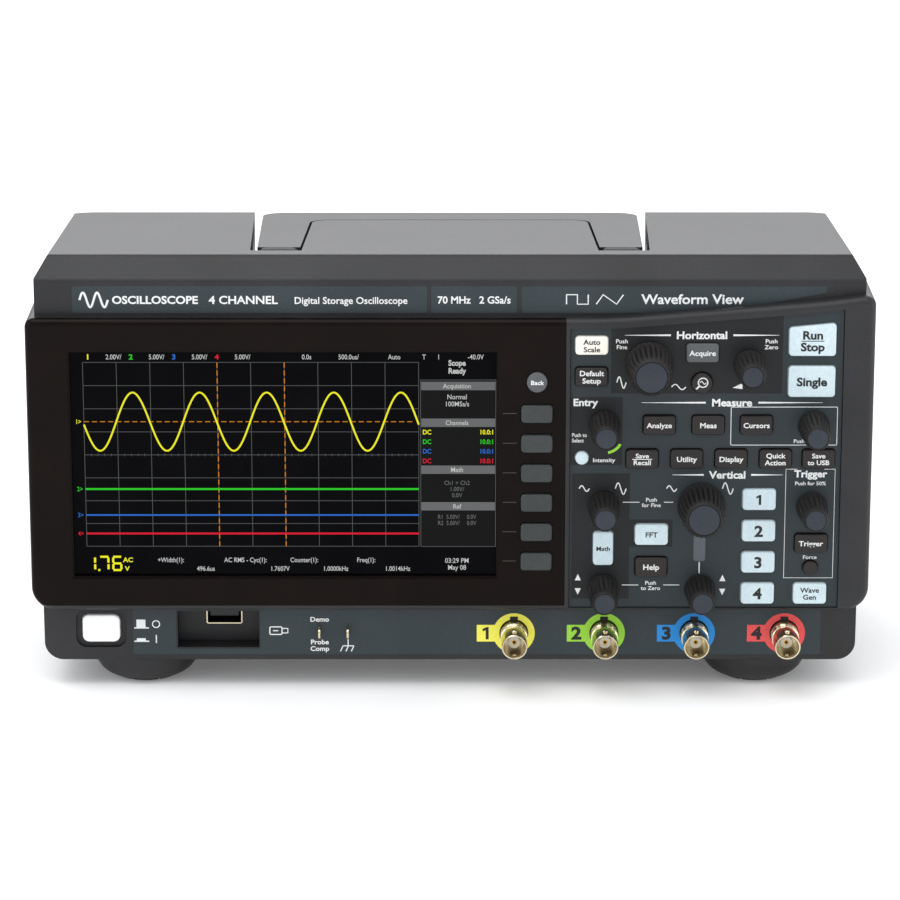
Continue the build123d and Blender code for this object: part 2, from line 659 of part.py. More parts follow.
def standoffs():
    """Places of the stand-offs under the main board and the supply board."""
    left, right = SUPPLY_RIGHT + 10, WIDTH / 2 - 20
    front, back = back_from_face(30), back_from_face(108)
    supply_left = -WIDTH / 2 + 20
    spots = [(x, y) for x in (left, (left + right) / 2, right) for y in (front, back)]
    return spots + [(x, y) for x in (supply_left, SUPPLY_RIGHT - 8) for y in (front, back)]


def foot_pads():
    """Rubber pads under the four feet."""
    pads = Part()
    for x in (-FOOT_X, FOOT_X):
        front = Pos(x, back_from_face(FRONT_FOOT_DEPTH), PAD_THICK / 2)
        pads += front * Cylinder(SOLE_R, PAD_THICK) - leg_slot(x, MOVE_GAP, -1)
        rear = Pos(x, back_from_face(REAR_FOOT_DEPTH), PAD_THICK / 2)
        pads += rear * Cylinder(REAR_SOLE_R, PAD_THICK)
    return pads


def tilt_leg(x):
    """A leg that folds into a front foot, on two stub pins."""
    y = back_from_face(FRONT_FOOT_DEPTH - LEG_PIN_BACK)
    half = LEG_THICK / 2
    eye = Pos(y, LEG_Z) * Circle(half)
    bar = Pos(y + LEG_LENGTH / 2 - half / 2, LEG_Z) * Rectangle(LEG_LENGTH - half, LEG_THICK)
    leg = along_x(eye + bar, x - LEG_WIDTH / 2, x + LEG_WIDTH / 2)
    tip = leg.faces().sort_by(Axis.Y)[-1].edges()
    leg = fillet(tip, 0.8)
    return leg + leg_pin(x, LEG_PIN_R, 2.0)


def case_screws():
    """Four screws that draw the two halves of the case together."""
    screws = Part()
    head = back_from_face(PILLAR_SEAT) + SCREW_FLOOR
    for x in (-PILLAR_X, PILLAR_X):
        for z in PILLAR_Z:
            screw = rod_y(x, z, SCREW_R, head - SCREW_LENGTH, head)
            screw += rod_y(x, z, SCREW_HEAD_R, head, head + 3)
            socket = along_y(Pos(x, z) * RegularPolygon(1.6, 6), head + 1, head + 3)
            screws += screw - socket
    return screws


# ================================================================ display side
def softkey_spots():
    return [(SOFTKEY[0], SOFTKEY[1] + n * SOFTKEY_PITCH) for n in range(SOFTKEYS)]


def display_bezel():
    """Glossy plate round the display, with holes for the soft keys."""
    shape = rounded_frame() & block(
        (-WIDTH, BEZEL_RIGHT),
        (FRAME_Y - 1, BEZEL_BACK_Y),
        (FRAME_BOTTOM + BEZEL_LIP + FIT_GAP, HEIGHT),
    )
    y = (FRAME_Y - 1, BEZEL_BACK_Y + 1)
    shape -= block(WINDOW_X, y, WINDOW_Z)
    edge = block(WINDOW_X, (FRAME_Y - 1, FRAME_Y + 0.6), WINDOW_Z)
    shape -= offset(edge, 0.6, kind=Kind.INTERSECTION) & block(
        (-WIDTH, WIDTH), (FRAME_Y - 1, FRAME_Y + 0.6), (0, HEIGHT)
    )
    for spot in softkey_spots():
        x, z = panel_point(spot)
        hole = RectangleRounded(
            SOFTKEY[2] + 2 * MOVE_GAP, SOFTKEY[3] + 2 * MOVE_GAP, KEY_CORNER + MOVE_GAP
        )
        shape -= along_y(Pos(x, z) * hole, *y)
    x, z = panel_point(BACK_KEY)
    shape -= rod_y(x, z, BACK_KEY[2] / 2 + MOVE_GAP, *y)
    return shape


def display_module():
    """Display panel in its metal tray, with the connector on its back."""
    x = (WINDOW_X[0] - MODULE_MARGIN, WINDOW_X[1] + MODULE_MARGIN)
    z = (WINDOW_Z[0] - MODULE_MARGIN, WINDOW_Z[1] + MODULE_MARGIN)
    shape = block(x, (BEZEL_BACK_Y, BEZEL_BACK_Y + MODULE_THICK), z)
    shape = fillet(shape.edges().filter_by(Axis.Y), 1.5)
    back = BEZEL_BACK_Y + MODULE_THICK
    middle = (z[0] + z[1]) / 2
    return shape + block((x[0] + 20, x[0] + 60), (back, back + 2.5), (middle, middle + 6))


# ================================================================ control panel
def key_outline(width, height, grow, slant=0.0):
    """A key's face, or with grow the hole round it."""
    half_w = width / 2 + grow
    half_h = height / 2 + grow
    outline = polygon(
        (-half_w, -half_h), (half_w, -half_h), (half_w, half_h), (-half_w, half_h - slant))
    return fillet(outline.vertices(), KEY_CORNER + grow)


def key_outlines(grow):
    """Every key on the overlay: its name and its outline where it belongs."""
    outlines = {}
    for name, (x, z, width, height) in KEYS.items():
        outlines[name] = Pos(*panel_point((x, z))) * key_outline(width, height, grow)
    for name, (x, z, diameter) in ROUND_KEYS.items():
        outlines[name] = Pos(*panel_point((x, z))) * Circle(diameter / 2 + grow)
    for number in range(CHANNELS):
        x, z, width, height = CHANNEL_KEY
        spot = (x, z + (CHANNELS - 1 - number) * CHANNEL_PITCH)
        outline = key_outline(width, height, grow)
        outlines[f"channel_{number + 1}_key"] = Pos(*panel_point(spot)) * outline
    x, z, width, height = RUN_STOP
    slanted = key_outline(width, height, grow, RUN_STOP_SLANT)
    outlines["run_stop_key"] = Pos(*panel_point((x, z))) * slanted
    return outlines


def soft_outlines(grow):
    """The keys in the bezel: six soft keys, numbered from the top, and the back key."""
    outlines = {}
    for number, spot in enumerate(reversed(softkey_spots())):
        outline = key_outline(SOFTKEY[2], SOFTKEY[3], grow)
        outlines[f"softkey_{number + 1}"] = Pos(*panel_point(spot)) * outline
    x, z, diameter = BACK_KEY
    outlines["back_key"] = Pos(*panel_point((x, z))) * Circle(diameter / 2 + grow)
    return outlines


def key(cap, flange, face_y, thick):
    """A key: a domed cap, a flange behind its hole and a stem towards the mat."""
    front = face_y - KEY_PROUD
    flange_y = face_y + thick + MOVE_GAP
    shape = along_y(cap, front, flange_y)
    shape = fillet(shape.faces().sort_by(Axis.Y)[0].edges(), KEY_DOME)
    shape += along_y(flange, flange_y, flange_y + KEY_FLANGE_THICK)
    middle = cap.center()
    stem_back = back_from_face(MAT_DEPTH) - KEY_TRAVEL - MOVE_GAP
    stem = rod_y(middle.X, middle.Y, KEY_STEM, flange_y, stem_back)
    return shape + stem


def control_overlay():
    """Moulded panel with the holes for the keys and the knobs' shafts."""
    shape = along_y(overlay_outline(0), FACE_Y, FACE_Y + OVERLAY_THICK) + snap_tabs(0)
    y = (FACE_Y - 1, FACE_Y + OVERLAY_THICK + 1)
    for outline in key_outlines(MOVE_GAP).values():
        shape -= along_y(outline, *y)
    for spot in KNOBS.values():
        shape -= rod_y(*panel_point(spot), SHAFT_R + 0.5, *y)
    return shape


def panel_area(y, thick, left):
    """A sheet behind the overlay, a little inside its outline."""
    right = OVERLAY_RIGHT - PANEL_SIDE
    reach = polygon((left, 0), (right, 0), (right, HEIGHT), (left, HEIGHT))
    sheet = overlay_outline(-PANEL_EDGE) & reach
    if left < OVERLAY_LEFT:
        sheet += polygon(
            (left, OVERLAY_BOTTOM + 6),
            (OVERLAY_LEFT + 5, OVERLAY_BOTTOM + 6),
            (OVERLAY_LEFT + 5, FRAME_TOP - 12),
            (left, FRAME_TOP - 12),
    )
    return along_y(sheet, back_from_face(y), back_from_face(y + thick))


def key_mat():
    """Rubber mat that the keys press on, cut out round the encoders."""
    shape = panel_area(MAT_DEPTH, MAT_THICK, OVERLAY_LEFT)
    y = (back_from_face(MAT_DEPTH) - 1, back_from_face(MAT_DEPTH + MAT_THICK) + 1)
    for spot in KNOBS.values():
        hole = Pos(*panel_point(spot)) * Rectangle(ENCODER + 1, ENCODER + 1)
        shape -= along_y(hole, *y)
    return shape


def panel_board():
    """Circuit board of the panel, with an encoder under each knob."""
    shape = panel_area(PANEL_DEPTH, BOARD_THICK, WINDOW_X[1] + MODULE_MARGIN + 1)
    front = back_from_face(ENCODER_FRONT)
    for spot in KNOBS.values():
        x, z = panel_point(spot)
        body_y = (front, back_from_face(PANEL_DEPTH))
        shape += along_y(Pos(x, z) * Rectangle(ENCODER, ENCODER), *body_y)
        shape -= rod_y(x, z, SHAFT_R + SHAFT_FIT, front - 1, back_from_face(SHAFT_END + 0.3))
    return shape


def knob(spot):
    """A fluted knob with a flat disc in front and its shaft behind."""
    x, z = panel_point(spot)
    base_r, shoulder_r, disc_r = spot[2]
    big = spot[2] is BIG_KNOB
    reach = KNOB_REACH if big else SMALL_REACH
    base_y = FACE_Y - KNOB_GAP
    front = FACE_Y - reach
    skirt = reach * 0.2
    profile = Polyline(
        (0, base_y),
        (base_r, base_y),
        (base_r, base_y - skirt * 0.4),
        (shoulder_r + (base_r - shoulder_r) * 0.35, base_y - skirt),
        (shoulder_r, front + 2.2),
        (disc_r + 0.4, front + 0.4),
        (disc_r, front),
        (0, front),
        close=True,
    )
    shape = revolve(make_face(profile), Axis.Y)
    flutes = BIG_FLUTES if big else SMALL_FLUTES
    for number in range(flutes):
        angle = 2 * pi * (number + 0.5) / flutes
        radius = shoulder_r + 0.12
        groove = rod_y(radius * cos(angle), radius * sin(angle), FLUTE_R, front - 1, base_y - skirt)
        shape -= groove
    shape += rod_y(0, 0, SHAFT_R, base_y - 1, back_from_face(SHAFT_END))
    return Pos(x, 0, z) * shape


# ================================================================ lower strip
def power_button():
    """Push-push power button with a stem to the switch on the supply board."""
    outline = Pos(POWER_X, POWER_Z) * RectangleRounded(*POWER_SIZE, 2.5)
    shape = along_y(outline, STRIP_Y - 0.3, STRIP_BACK_Y + MOVE_GAP)
    shape = fillet(shape.faces().sort_by(Axis.Y)[0].edges(), 0.7)
    rim = Pos(POWER_X, POWER_Z) * RectangleRounded(POWER_SIZE[0] + 2, POWER_SIZE[1] + 2, 3.0)
    shape += along_y(rim, STRIP_BACK_Y + MOVE_GAP, STRIP_BACK_Y + MOVE_GAP + 1.2)
    stem = Pos(POWER_X, POWER_Z) * Rectangle(4, 4)
    return shape + along_y(stem, STRIP_BACK_Y, STRIP_BACK_Y + 4.5)


def bnc(x, z):
    """A round bayonet socket with its insulated centre contact and its housing."""
    front = STRIP_Y - BNC_REACH
    flange = STRIP_BACK_Y + FIT_GAP
    shape = rod_y(x, z, BNC_R, front, flange)
    shape += rod_y(x, z, BNC_ROOT_R, front + BNC_MATING, flange + 1)
    shape -= rod_y(x, z, BNC_BORE, front - 1, front + BNC_BORE_DEPTH)
    shape += rod_y(x, z, BNC_CORE, front + BNC_CORE_DEPTH, front + BNC_BORE_DEPTH + 0.5)
    shape -= rod_y(x, z, BNC_CONTACT_R, front, front + BNC_BORE_DEPTH - 1)
    shape += rod_y(x, z, 6.6, flange, flange + 1.5)
    side = (x - BNC_BLOCK / 2, x + BNC_BLOCK / 2)
    return shape + block(side, (flange + 1, flange + 13), (BOARD_Z + BOARD_THICK, z + 6.5))


def front_sockets():
    """Four input sockets, the memory stick socket's shell and the two probe lugs."""
    shape = Part()
    for number in range(CHANNELS):
        shape += bnc(BNC_X - number * BNC_PITCH, BNC_Z)
    shell_y = (STRIP_Y + USB_POCKET + 0.2, STRIP_Y + USB_POCKET + USB_SHELL_LENGTH)
    centre = Pos(USB_SHELL_X, USB_SHELL_Z)
    shape += along_y(centre * Rectangle(*USB_SHELL), *shell_y)
    inner = [side - 2 * USB_SHELL_WALL for side in USB_SHELL]
    shape -= along_y(centre * Rectangle(*inner), shell_y[0] - 1, shell_y[1] - 1)
    foot_x = (USB_SHELL_X - 5, USB_SHELL_X + 5)
    foot_z = (BOARD_Z + BOARD_THICK, USB_SHELL_Z - USB_SHELL[1] / 2)
    shape += block(foot_x, (STRIP_Y + USB_POCKET + 3, shell_y[1]), foot_z)
    for x in LUGS_X:
        lug_x = (x - 0.5, x + 0.5)
        lug_z = (LUG_Z - 2.2, LUG_Z + 2.2)
        back = back_from_face(MAIN_FRONT) + 4
        lug = block(lug_x, (STRIP_Y - LUG_REACH, back), lug_z)
        lug -= rod_x(STRIP_Y - LUG_REACH + 2.2, LUG_Z, 0.9, x - 1, x + 1)
        post = block(lug_x, (back - 3, back), (BOARD_Z + BOARD_THICK, LUG_Z))
        shape += lug + post
    return shape


# ================================================================ inside and back
def main_board():
    """Main circuit board with its heat sink and shielded input stages."""
    x = (SUPPLY_RIGHT + 2, WIDTH / 2 - 16)
    y = (back_from_face(MAIN_FRONT), back_from_face(114))
    top = BOARD_Z + BOARD_THICK
    shape = block(x, y, (BOARD_Z, top))
    left = BNC_X - (CHANNELS - 1) * BNC_PITCH
    shields_y = [back_from_face(depth) for depth in INPUT_SHIELD_DEPTH]
    half = INPUT_SHIELD[0] / 2
    for number in range(CHANNELS):
        middle = left + number * BNC_PITCH
        shape += block((middle - half, middle + half), shields_y, (top, top + INPUT_SHIELD[1]))
    sink_y = [back_from_face(depth) for depth in HEAT_SINK_DEPTH]
    shape += block(HEAT_SINK_X, sink_y, (top, top + HEAT_SINK_BASE))
    for number in range(FINS):
        fin = HEAT_SINK_X[0] + 2 + number * FIN_PITCH
        shape += block((fin, fin + FIN_THICK), sink_y, (top, top + FIN_HEIGHT))
    return shape


def power_supply():
    """Mains supply board: switch, transformer, capacitors and heat sink."""
    x = (-WIDTH / 2 + 16, SUPPLY_RIGHT)
    y = (back_from_face(MAIN_FRONT), back_from_face(106))
    top = BOARD_Z + BOARD_THICK
    shape = block(x, y, (BOARD_Z, top))
    switch_y = STRIP_BACK_Y + 4.5 + POWER_TRAVEL + 0.5
    switch_x = (POWER_X - SWITCH[0] / 2, POWER_X + SWITCH[0] / 2)
    shape += block(switch_x, (switch_y, switch_y + SWITCH[1]), (top, top + SWITCH[2]))
    middle = (x[0] + x[1]) / 2
    core_x = (middle - TRANSFORMER[0] / 2, middle + TRANSFORMER[0] / 2)
    core_y = [back_from_face(depth) for depth in TRANSFORMER_DEPTH]
    shape += block(core_x, core_y, (top, top + TRANSFORMER[1]))
    can = Cylinder(*CAN, align=(Align.CENTER, Align.CENTER, Align.MIN))
    for offset_x in (-CAN_OFFSET, CAN_OFFSET):
        shape += Pos(middle + offset_x, back_from_face(CAN_DEPTH), top) * can
    return shape


def fan_frame():
    """Square fan housing with its bearing hub on three struts."""
    y = (BACK_Y - WALL - FAN_THICK, BACK_Y - WALL)
    centre = Pos(FAN_X, FAN_Z)
    shape = along_y(centre * RectangleRounded(FAN, FAN, 4), *y)
    shape -= rod_y(FAN_X, FAN_Z, FAN_BORE_R, y[0] - 1, y[1] + 1)
    for number in range(3):
        strut = Rot(0, 0, 90 + number * 120) * Pos(FAN_BORE_R / 2 + 2, 0) * Rectangle(FAN_BORE_R, 3)
        shape += along_y(centre * strut, y[1] - FAN_WEB, y[1])
    bearing_y = y[1] - FAN_BEARING_LENGTH
    shape += rod_y(FAN_X, FAN_Z, FAN_HUB_R, y[1] - FAN_WEB, y[1])
    shape += rod_y(FAN_X, FAN_Z, FAN_BEARING_R, bearing_y, y[1])
    shape -= rod_y(FAN_X, FAN_Z, FAN_SHAFT_R + SHAFT_FIT, bearing_y - 1, y[1] - 1)
    for x in (FAN_X - FAN_CORNER, FAN_X + FAN_CORNER):
        for z in (FAN_Z - FAN_CORNER, FAN_Z + FAN_CORNER):
            shape -= rod_y(x, z, FAN_CORNER_R, y[0] - 1, y[1] + 1)
    return shape


def fan_rotor():
    """Hub cup and blades, on a shaft in the housing's bearing."""
    back = BACK_Y - WALL - 3.2
    front = BACK_Y - WALL - FAN_THICK + 0.8
    shape = rod_y(0, 0, FAN_HUB_R, front, back)
    shape -= rod_y(0, 0, FAN_HUB_R - 1.5, front + 2, back + 1)
    shape += rod_y(0, 0, FAN_SHAFT_R, front, BACK_Y - WALL - 1.5)
    length = FAN_BORE_R - 1.0 - FAN_HUB_R
    for number in range(BLADES):
        blade = Box(length + 1, *BLADE)
        middle = Vector(FAN_HUB_R - 0.5 + length / 2, (front + back) / 2 - 0.3, 0)
        blade = Pos(middle) * Rot(BLADE_TWIST, 0, 0) * blade
        shape += Rot(0, 360 * number / BLADES, 0) * blade
    return Pos(FAN_X, 0, FAN_Z) * shape


def hollow_socket(x, z, size, depth, wall):
    """A square socket that is open at the back."""
    front = BACK_Y - depth
    centre = Pos(x, z)
    shape = along_y(centre * Rectangle(*size), front, BACK_Y)
    inner = [side - 2 * wall for side in size]
    return shape - along_y(centre * Rectangle(*inner), front + SOCKET_FLOOR, BACK_Y + 1)


def rear_sockets():
    """Mains inlet, network socket and computer socket."""
    cutouts = rear_cutouts()
    shape = hollow_socket(*cutouts[0], *INLET_SHELL)
    for offset_x, offset_z in INLET_PINS:
        pin_x = (INLET_X + offset_x - 1, INLET_X + offset_x + 1)
        pin_z = (INLET_Z + offset_z - 2, INLET_Z + offset_z + 2)
        shape += block(pin_x, INLET_PIN_Y, pin_z)
    shape += hollow_socket(*cutouts[1], *LAN_SHELL)
    shape += hollow_socket(*cutouts[2], *USB_B_SHELL)
    return shape


# ================================================================ handle
def carry_handle():
    """U-shaped handle that lies in the top and flips up about its front ends."""
    front = HINGE_Y - HANDLE_END_R
    back = HANDLE_BACK_Y
    outer = polygon(
        (-HANDLE_FRONT_HALF, front),
        (HANDLE_FRONT_HALF, front),
        (HANDLE_BACK_HALF, back),
        (-HANDLE_BACK_HALF, back),
    )
    outer = fillet(outer.vertices().sort_by(Axis.Y)[2:], 9.0)
    inner = polygon(
        (-ARM_FRONT_INNER, front - 5),
        (ARM_FRONT_INNER, front - 5),
        (ARM_BACK_INNER, back - GRIP),
        (-ARM_BACK_INNER, back - GRIP),
    )
    inner = fillet(inner.vertices().sort_by(Axis.Y)[2:], 7.0 + WELL_GAP)
    side = polygon(
        (HINGE_Y, top_z(HINGE_Y)),
        (back, top_z(back)),
        (back, top_z(back) - HANDLE_THICK),
        (HINGE_Y, HINGE_Z - HANDLE_END_R),
    )
    side += Pos(HINGE_Y, HINGE_Z) * Circle(HANDLE_END_R)
    shape = along_z(outer - inner, 0, HEIGHT + 5) & along_x(side, -WIDTH, WIDTH)
    grip_edges = shape.edges().filter_by(Axis.X)
    grip_edges = [e for e in grip_edges if e.center().Y > back - GRIP - 1]
    low = [e for e in grip_edges if e.center().Z < top_z(back) - HANDLE_THICK + 2]
    shape = fillet(low, 3.0)
    pins = rod_x(HINGE_Y, HINGE_Z, PIN_R, ARM_FRONT_INNER - PIN_LENGTH, ARM_FRONT_INNER + 2)
    return shape + mirrored(pins)


def build():
    """Every piece, under its node's name."""
    pieces = {
        "front_case": front_case(),
        "rear_case": rear_case(),
        "display_bezel": display_bezel(),
        "display_module": display_module(),
        "control_overlay": control_overlay(),
        "key_mat": key_mat(),
        "panel_board": panel_board(),
        "main_board": main_board(),
        "front_sockets": front_sockets(),
        "rear_sockets": rear_sockets(),
        "power_supply": power_supply(),
        "fan_frame": fan_frame(),
        "fan_rotor": fan_rotor(),
        "case_screws": case_screws(),
        "foot_pads": foot_pads(),
        "carry_handle": carry_handle(),
        "tilt_leg_left": tilt_leg(-FOOT_X),
        "tilt_leg_right": tilt_leg(FOOT_X),
        "power_button": power_button(),
    }
    for name, spot in KNOBS.items():
        pieces[name] = knob(spot)
    caps = key_outlines(0)
    flanges = key_outlines(KEY_FLANGE)
    for name, cap in caps.items():
        pieces[name] = key(cap, flanges[name], FACE_Y, OVERLAY_THICK)
    caps = soft_outlines(0)
    flanges = soft_outlines(KEY_FLANGE)
    for name, cap in caps.items():
        pieces[name] = key(cap, flanges[name], FRAME_Y, BEZEL_THICK)
    return pieces


os.makedirs("parts", exist_ok=True)
for node, piece in build().items():
    export_step(piece, f"parts/{node}.step")
    print(node, "written")
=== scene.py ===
# %% [markdown]
# # A bench oscilloscope, from working CAD to a picture
# The CAD model already has every moulding, key, knob and socket in its real place, in
# metres. This lesson dresses it: finishes for what the CAD made, finer shapes for the
# knobs and sockets, and the print that makes an instrument readable. Nothing that the
# CAD made is moved, so each new piece takes its place from the frame.

# %% load the frame
import json
import math

import bmesh
import bpy
from mathutils import Matrix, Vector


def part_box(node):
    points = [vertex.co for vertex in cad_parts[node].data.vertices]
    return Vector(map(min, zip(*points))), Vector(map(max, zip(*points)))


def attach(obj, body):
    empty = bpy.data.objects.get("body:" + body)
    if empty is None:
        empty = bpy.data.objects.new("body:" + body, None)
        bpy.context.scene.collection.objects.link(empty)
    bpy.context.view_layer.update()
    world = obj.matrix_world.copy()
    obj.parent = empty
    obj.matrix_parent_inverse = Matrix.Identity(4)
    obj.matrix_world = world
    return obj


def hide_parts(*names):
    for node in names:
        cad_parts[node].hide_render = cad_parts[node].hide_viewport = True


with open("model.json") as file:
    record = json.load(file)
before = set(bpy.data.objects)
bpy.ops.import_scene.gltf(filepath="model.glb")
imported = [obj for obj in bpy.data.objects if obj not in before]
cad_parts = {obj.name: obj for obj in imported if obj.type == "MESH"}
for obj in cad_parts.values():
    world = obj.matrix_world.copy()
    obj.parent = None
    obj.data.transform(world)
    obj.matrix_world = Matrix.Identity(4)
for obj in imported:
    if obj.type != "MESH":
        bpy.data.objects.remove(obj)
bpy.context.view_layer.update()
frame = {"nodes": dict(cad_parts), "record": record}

MM = 0.001
record = frame["record"]
body_of = {
    node: body for body, nodes in record["behaviour"]["bodies"].items() for node in nodes
}


# %% [markdown]
# ## Colours and nodes
# Colours are written as the hex values a paint chart gives and turned to the linear
# values that shaders work in. One function adds any shader node, so a material reads as
# a short list of what feeds what.

# %% colour and node helpers
def linear(hex_colour):
    """An sRGB hex colour as linear red, green, blue and alpha."""
    channels = [int(hex_colour[i : i + 2], 16) / 255 for i in (1, 3, 5)]
    low = [c / 12.92 if c <= 0.04045 else ((c + 0.055) / 1.055) ** 2.4 for c in channels]
    return low + [1.0]


def add_node(tree, kind, inputs=None, **settings):
    """A node with its settings, and its inputs set to values or linked to sockets."""
    node = tree.nodes.new(kind)
    for name, value in settings.items():
        setattr(node, name, value)
    for socket, value in (inputs or {}).items():
        if isinstance(value, bpy.types.NodeSocket):
            tree.links.new(value, node.inputs[socket])
        else:
            node.inputs[socket].default_value = value
    return node


def new_material(name, settings):
    """A material with one shader, and the tree to add its pattern to."""
    material = bpy.data.materials.new(name)
    material.use_nodes = True
    tree = material.node_tree
    tree.nodes.clear()
    shader = add_node(tree, "ShaderNodeBsdfPrincipled", settings)
    add_node(tree, "ShaderNodeOutputMaterial", {"Surface": shader.outputs["BSDF"]})
    return material, tree, shader


def object_place(tree):
    return add_node(tree, "ShaderNodeTexCoord").outputs["Object"]


MIX_A, MIX_B, MIX_RESULT = 6, 7, 2  # the colour sockets of a Mix node


def mix_colours(tree, factor, first, second):
    inputs = {0: factor, MIX_A: first, MIX_B: second}
    return add_node(tree, "ShaderNodeMix", inputs, data_type="RGBA").outputs[MIX_RESULT]


def textured(name, shade, lit_shade, roughness, grain, relief, settings):
    """A finish whose colour, gloss and height wander together, at a grain in mm."""
    material, tree, shader = new_material(name, settings)
    place = object_place(tree)
    speck = {"Vector": place, "Scale": 1 / (grain * MM), "Detail": 4.0, "Roughness": 0.6}
    fine = add_node(tree, "ShaderNodeTexNoise", speck).outputs["Fac"]
    drift = {"Vector": place, "Scale": 1 / (40 * MM), "Detail": 2.0}
    broad = add_node(tree, "ShaderNodeTexNoise", drift).outputs["Fac"]
    both = add_node(tree, "ShaderNodeMath", {0: fine, 1: broad}, operation="MULTIPLY")
    spread = {"Value": both.outputs[0], "From Min": 0.1, "From Max": 0.4}
    factor = add_node(tree, "ShaderNodeMapRange", spread).outputs["Result"]
    tree.links.new(
        mix_colours(tree, factor, linear(shade), linear(lit_shade)),
        shader.inputs["Base Color"],
    )
    gloss = {"Value": fine, "To Min": roughness - 0.06, "To Max": roughness + 0.06}
    rough = add_node(tree, "ShaderNodeMapRange", gloss).outputs["Result"]
    tree.links.new(rough, shader.inputs["Roughness"])
    height = {"Height": fine, "Strength": 1.0, "Distance": relief * MM}
    bump = add_node(tree, "ShaderNodeBump", height).outputs["Normal"]
    tree.links.new(bump, shader.inputs["Normal"])
    return material


print("black and white:", linear("#000000")[0], linear("#ffffff")[0])


# %% [markdown]
# ## Finishes of the mouldings
# The case is ABS, moulded in a spark-eroded tool, which leaves a fine matt grain that
# breaks up the light. The bezel is polycarbonate from a polished tool, so it is nearly
# black with a sharp gloss, and its hard coat keeps reflections low. The knobs are a soft
# elastomer, darker and duller than the case.

# %% plastics and rubber
# grain 0.9 mm is coarser than the real 0.3 mm, so that it still shows at this distance
case_plastic = textured(
    "spark_grained_abs", "#1c1c1d", "#29292b", 0.46, 0.9, 0.05,
    {"IOR": 1.53, "Specular IOR Level": 0.34},
)
# a polished tool leaves no grain, only a faint long wave in the gloss
bezel_plastic = textured(
    "polished_polycarbonate", "#0c0705", "#140c09", 0.14, 14.0, 0.01,
    {"IOR": 1.585, "Specular IOR Level": 0.04, "Coat Weight": 0.05, "Coat Roughness": 0.05},
)
# thermoplastic elastomer, moulded: matt and slightly dusty along the flutes
knob_rubber = textured(
    "moulded_elastomer", "#12100e", "#242120", 0.6, 0.7, 0.04,
    {"IOR": 1.5, "Specular IOR Level": 0.35},
)
# the discs are the same blue grey as the panel's film, painted and rubbed smooth
disc_paint = textured(
    "satin_painted_disc", "#272c34", "#313740", 0.4, 1.2, 0.01,
    {"IOR": 1.5, "Specular IOR Level": 0.3},
)
foot_rubber = textured("moulded_foot_rubber", "#131313", "#1f1f1f", 0.8, 0.8, 0.05, {"IOR": 1.52})
fan_plastic = textured("black_pbt", "#0d0d0e", "#181819", 0.4, 1.5, 0.02, {"IOR": 1.54})
socket_plastic = textured("black_nylon", "#0b0b0c", "#151516", 0.45, 0.8, 0.02, {"IOR": 1.53})
mat_silicone = textured("pressed_silicone", "#6d7074", "#7d8084", 0.6, 1.2, 0.03, {"IOR": 1.41})
white_button = textured("white_abs", "#f8f8f7", "#ffffff", 0.35, 1.0, 0.01, {"IOR": 1.53})
black_key = textured("black_key_silicone", "#15110f", "#221d1a", 0.42, 0.8, 0.03, {"IOR": 1.43})
soft_key = textured("dark_grey_key_silicone", "#2c3030", "#3a3f3f", 0.4, 0.8, 0.03, {"IOR": 1.43})
grey_key = textured("grey_key_silicone", "#4a4c4e", "#5c5e60", 0.4, 0.8, 0.03, {"IOR": 1.43})
print("plastics:", [m.name for m in bpy.data.materials if "abs" in m.name])


# %% [markdown]
# ## Lit keys
# The pale keys are translucent silicone with a lamp behind, so a little light comes from
# inside them. They are a touch brighter in the middle, where the lamp is nearest, which a
# slow noise stands for.

# %% lit keys
SILICONE_IOR = 1.43


def lit_silicone(name, shade, lit_shade, glow):
    """A key silicone with a lamp behind it."""
    return textured(
        name, shade, lit_shade, 0.38, 1.5, 0.02,
        {"IOR": SILICONE_IOR, "Emission Color": linear(lit_shade), "Emission Strength": glow},
    )


lit_key = lit_silicone("lit_blue_silicone", "#b0c2c9", "#c6d6dc", 0.14)
cream_key = lit_silicone("lit_cream_silicone", "#dcd8cc", "#f4f0e6", 0.12)
print("lit keys:", lit_key.name, "and", cream_key.name)


# %% [markdown]
# ## Metals, boards and glass
# Nickel plate is bright with a slightly warm tone and fine turning marks round each
# socket, which stretched noise gives. Zinc-coated steel has a faint spangle, which a
# Voronoi pattern makes. Circuit boards are glass laminate under green lacquer, with
# copper tracks that lift the lacquer a little.

# %% metals
def plated(name, shade, lit_shade, roughness, stretch):
    """A metal whose gloss is combed in one direction."""
    material, tree, shader = new_material(name, {"Metallic": 1.0})
    combed = add_node(
        tree, "ShaderNodeMapping", {"Vector": object_place(tree), "Scale": stretch}
    ).outputs["Vector"]
    marks = {"Vector": combed, "Scale": 1 / (0.8 * MM), "Detail": 3.0}
    noise = add_node(tree, "ShaderNodeTexNoise", marks).outputs["Fac"]
    tree.links.new(
        mix_colours(tree, noise, linear(shade), linear(lit_shade)), shader.inputs["Base Color"]
    )
    gloss = {"Value": noise, "To Min": roughness - 0.07, "To Max": roughness + 0.07}
    rough = add_node(tree, "ShaderNodeMapRange", gloss).outputs["Result"]
    tree.links.new(rough, shader.inputs["Roughness"])
    return material


nickel = plated("turned_nickel_plate", "#cdbf9e", "#efe3c6", 0.2, (0.2, 3.0, 0.2))
gold = plated("gold_flash", "#b88a35", "#e0b75c", 0.24, (1.0, 1.0, 1.0))
ptfe = textured("machined_ptfe", "#e6e0d3", "#f8f4ea", 0.5, 0.7, 0.01, {"IOR": 1.35})

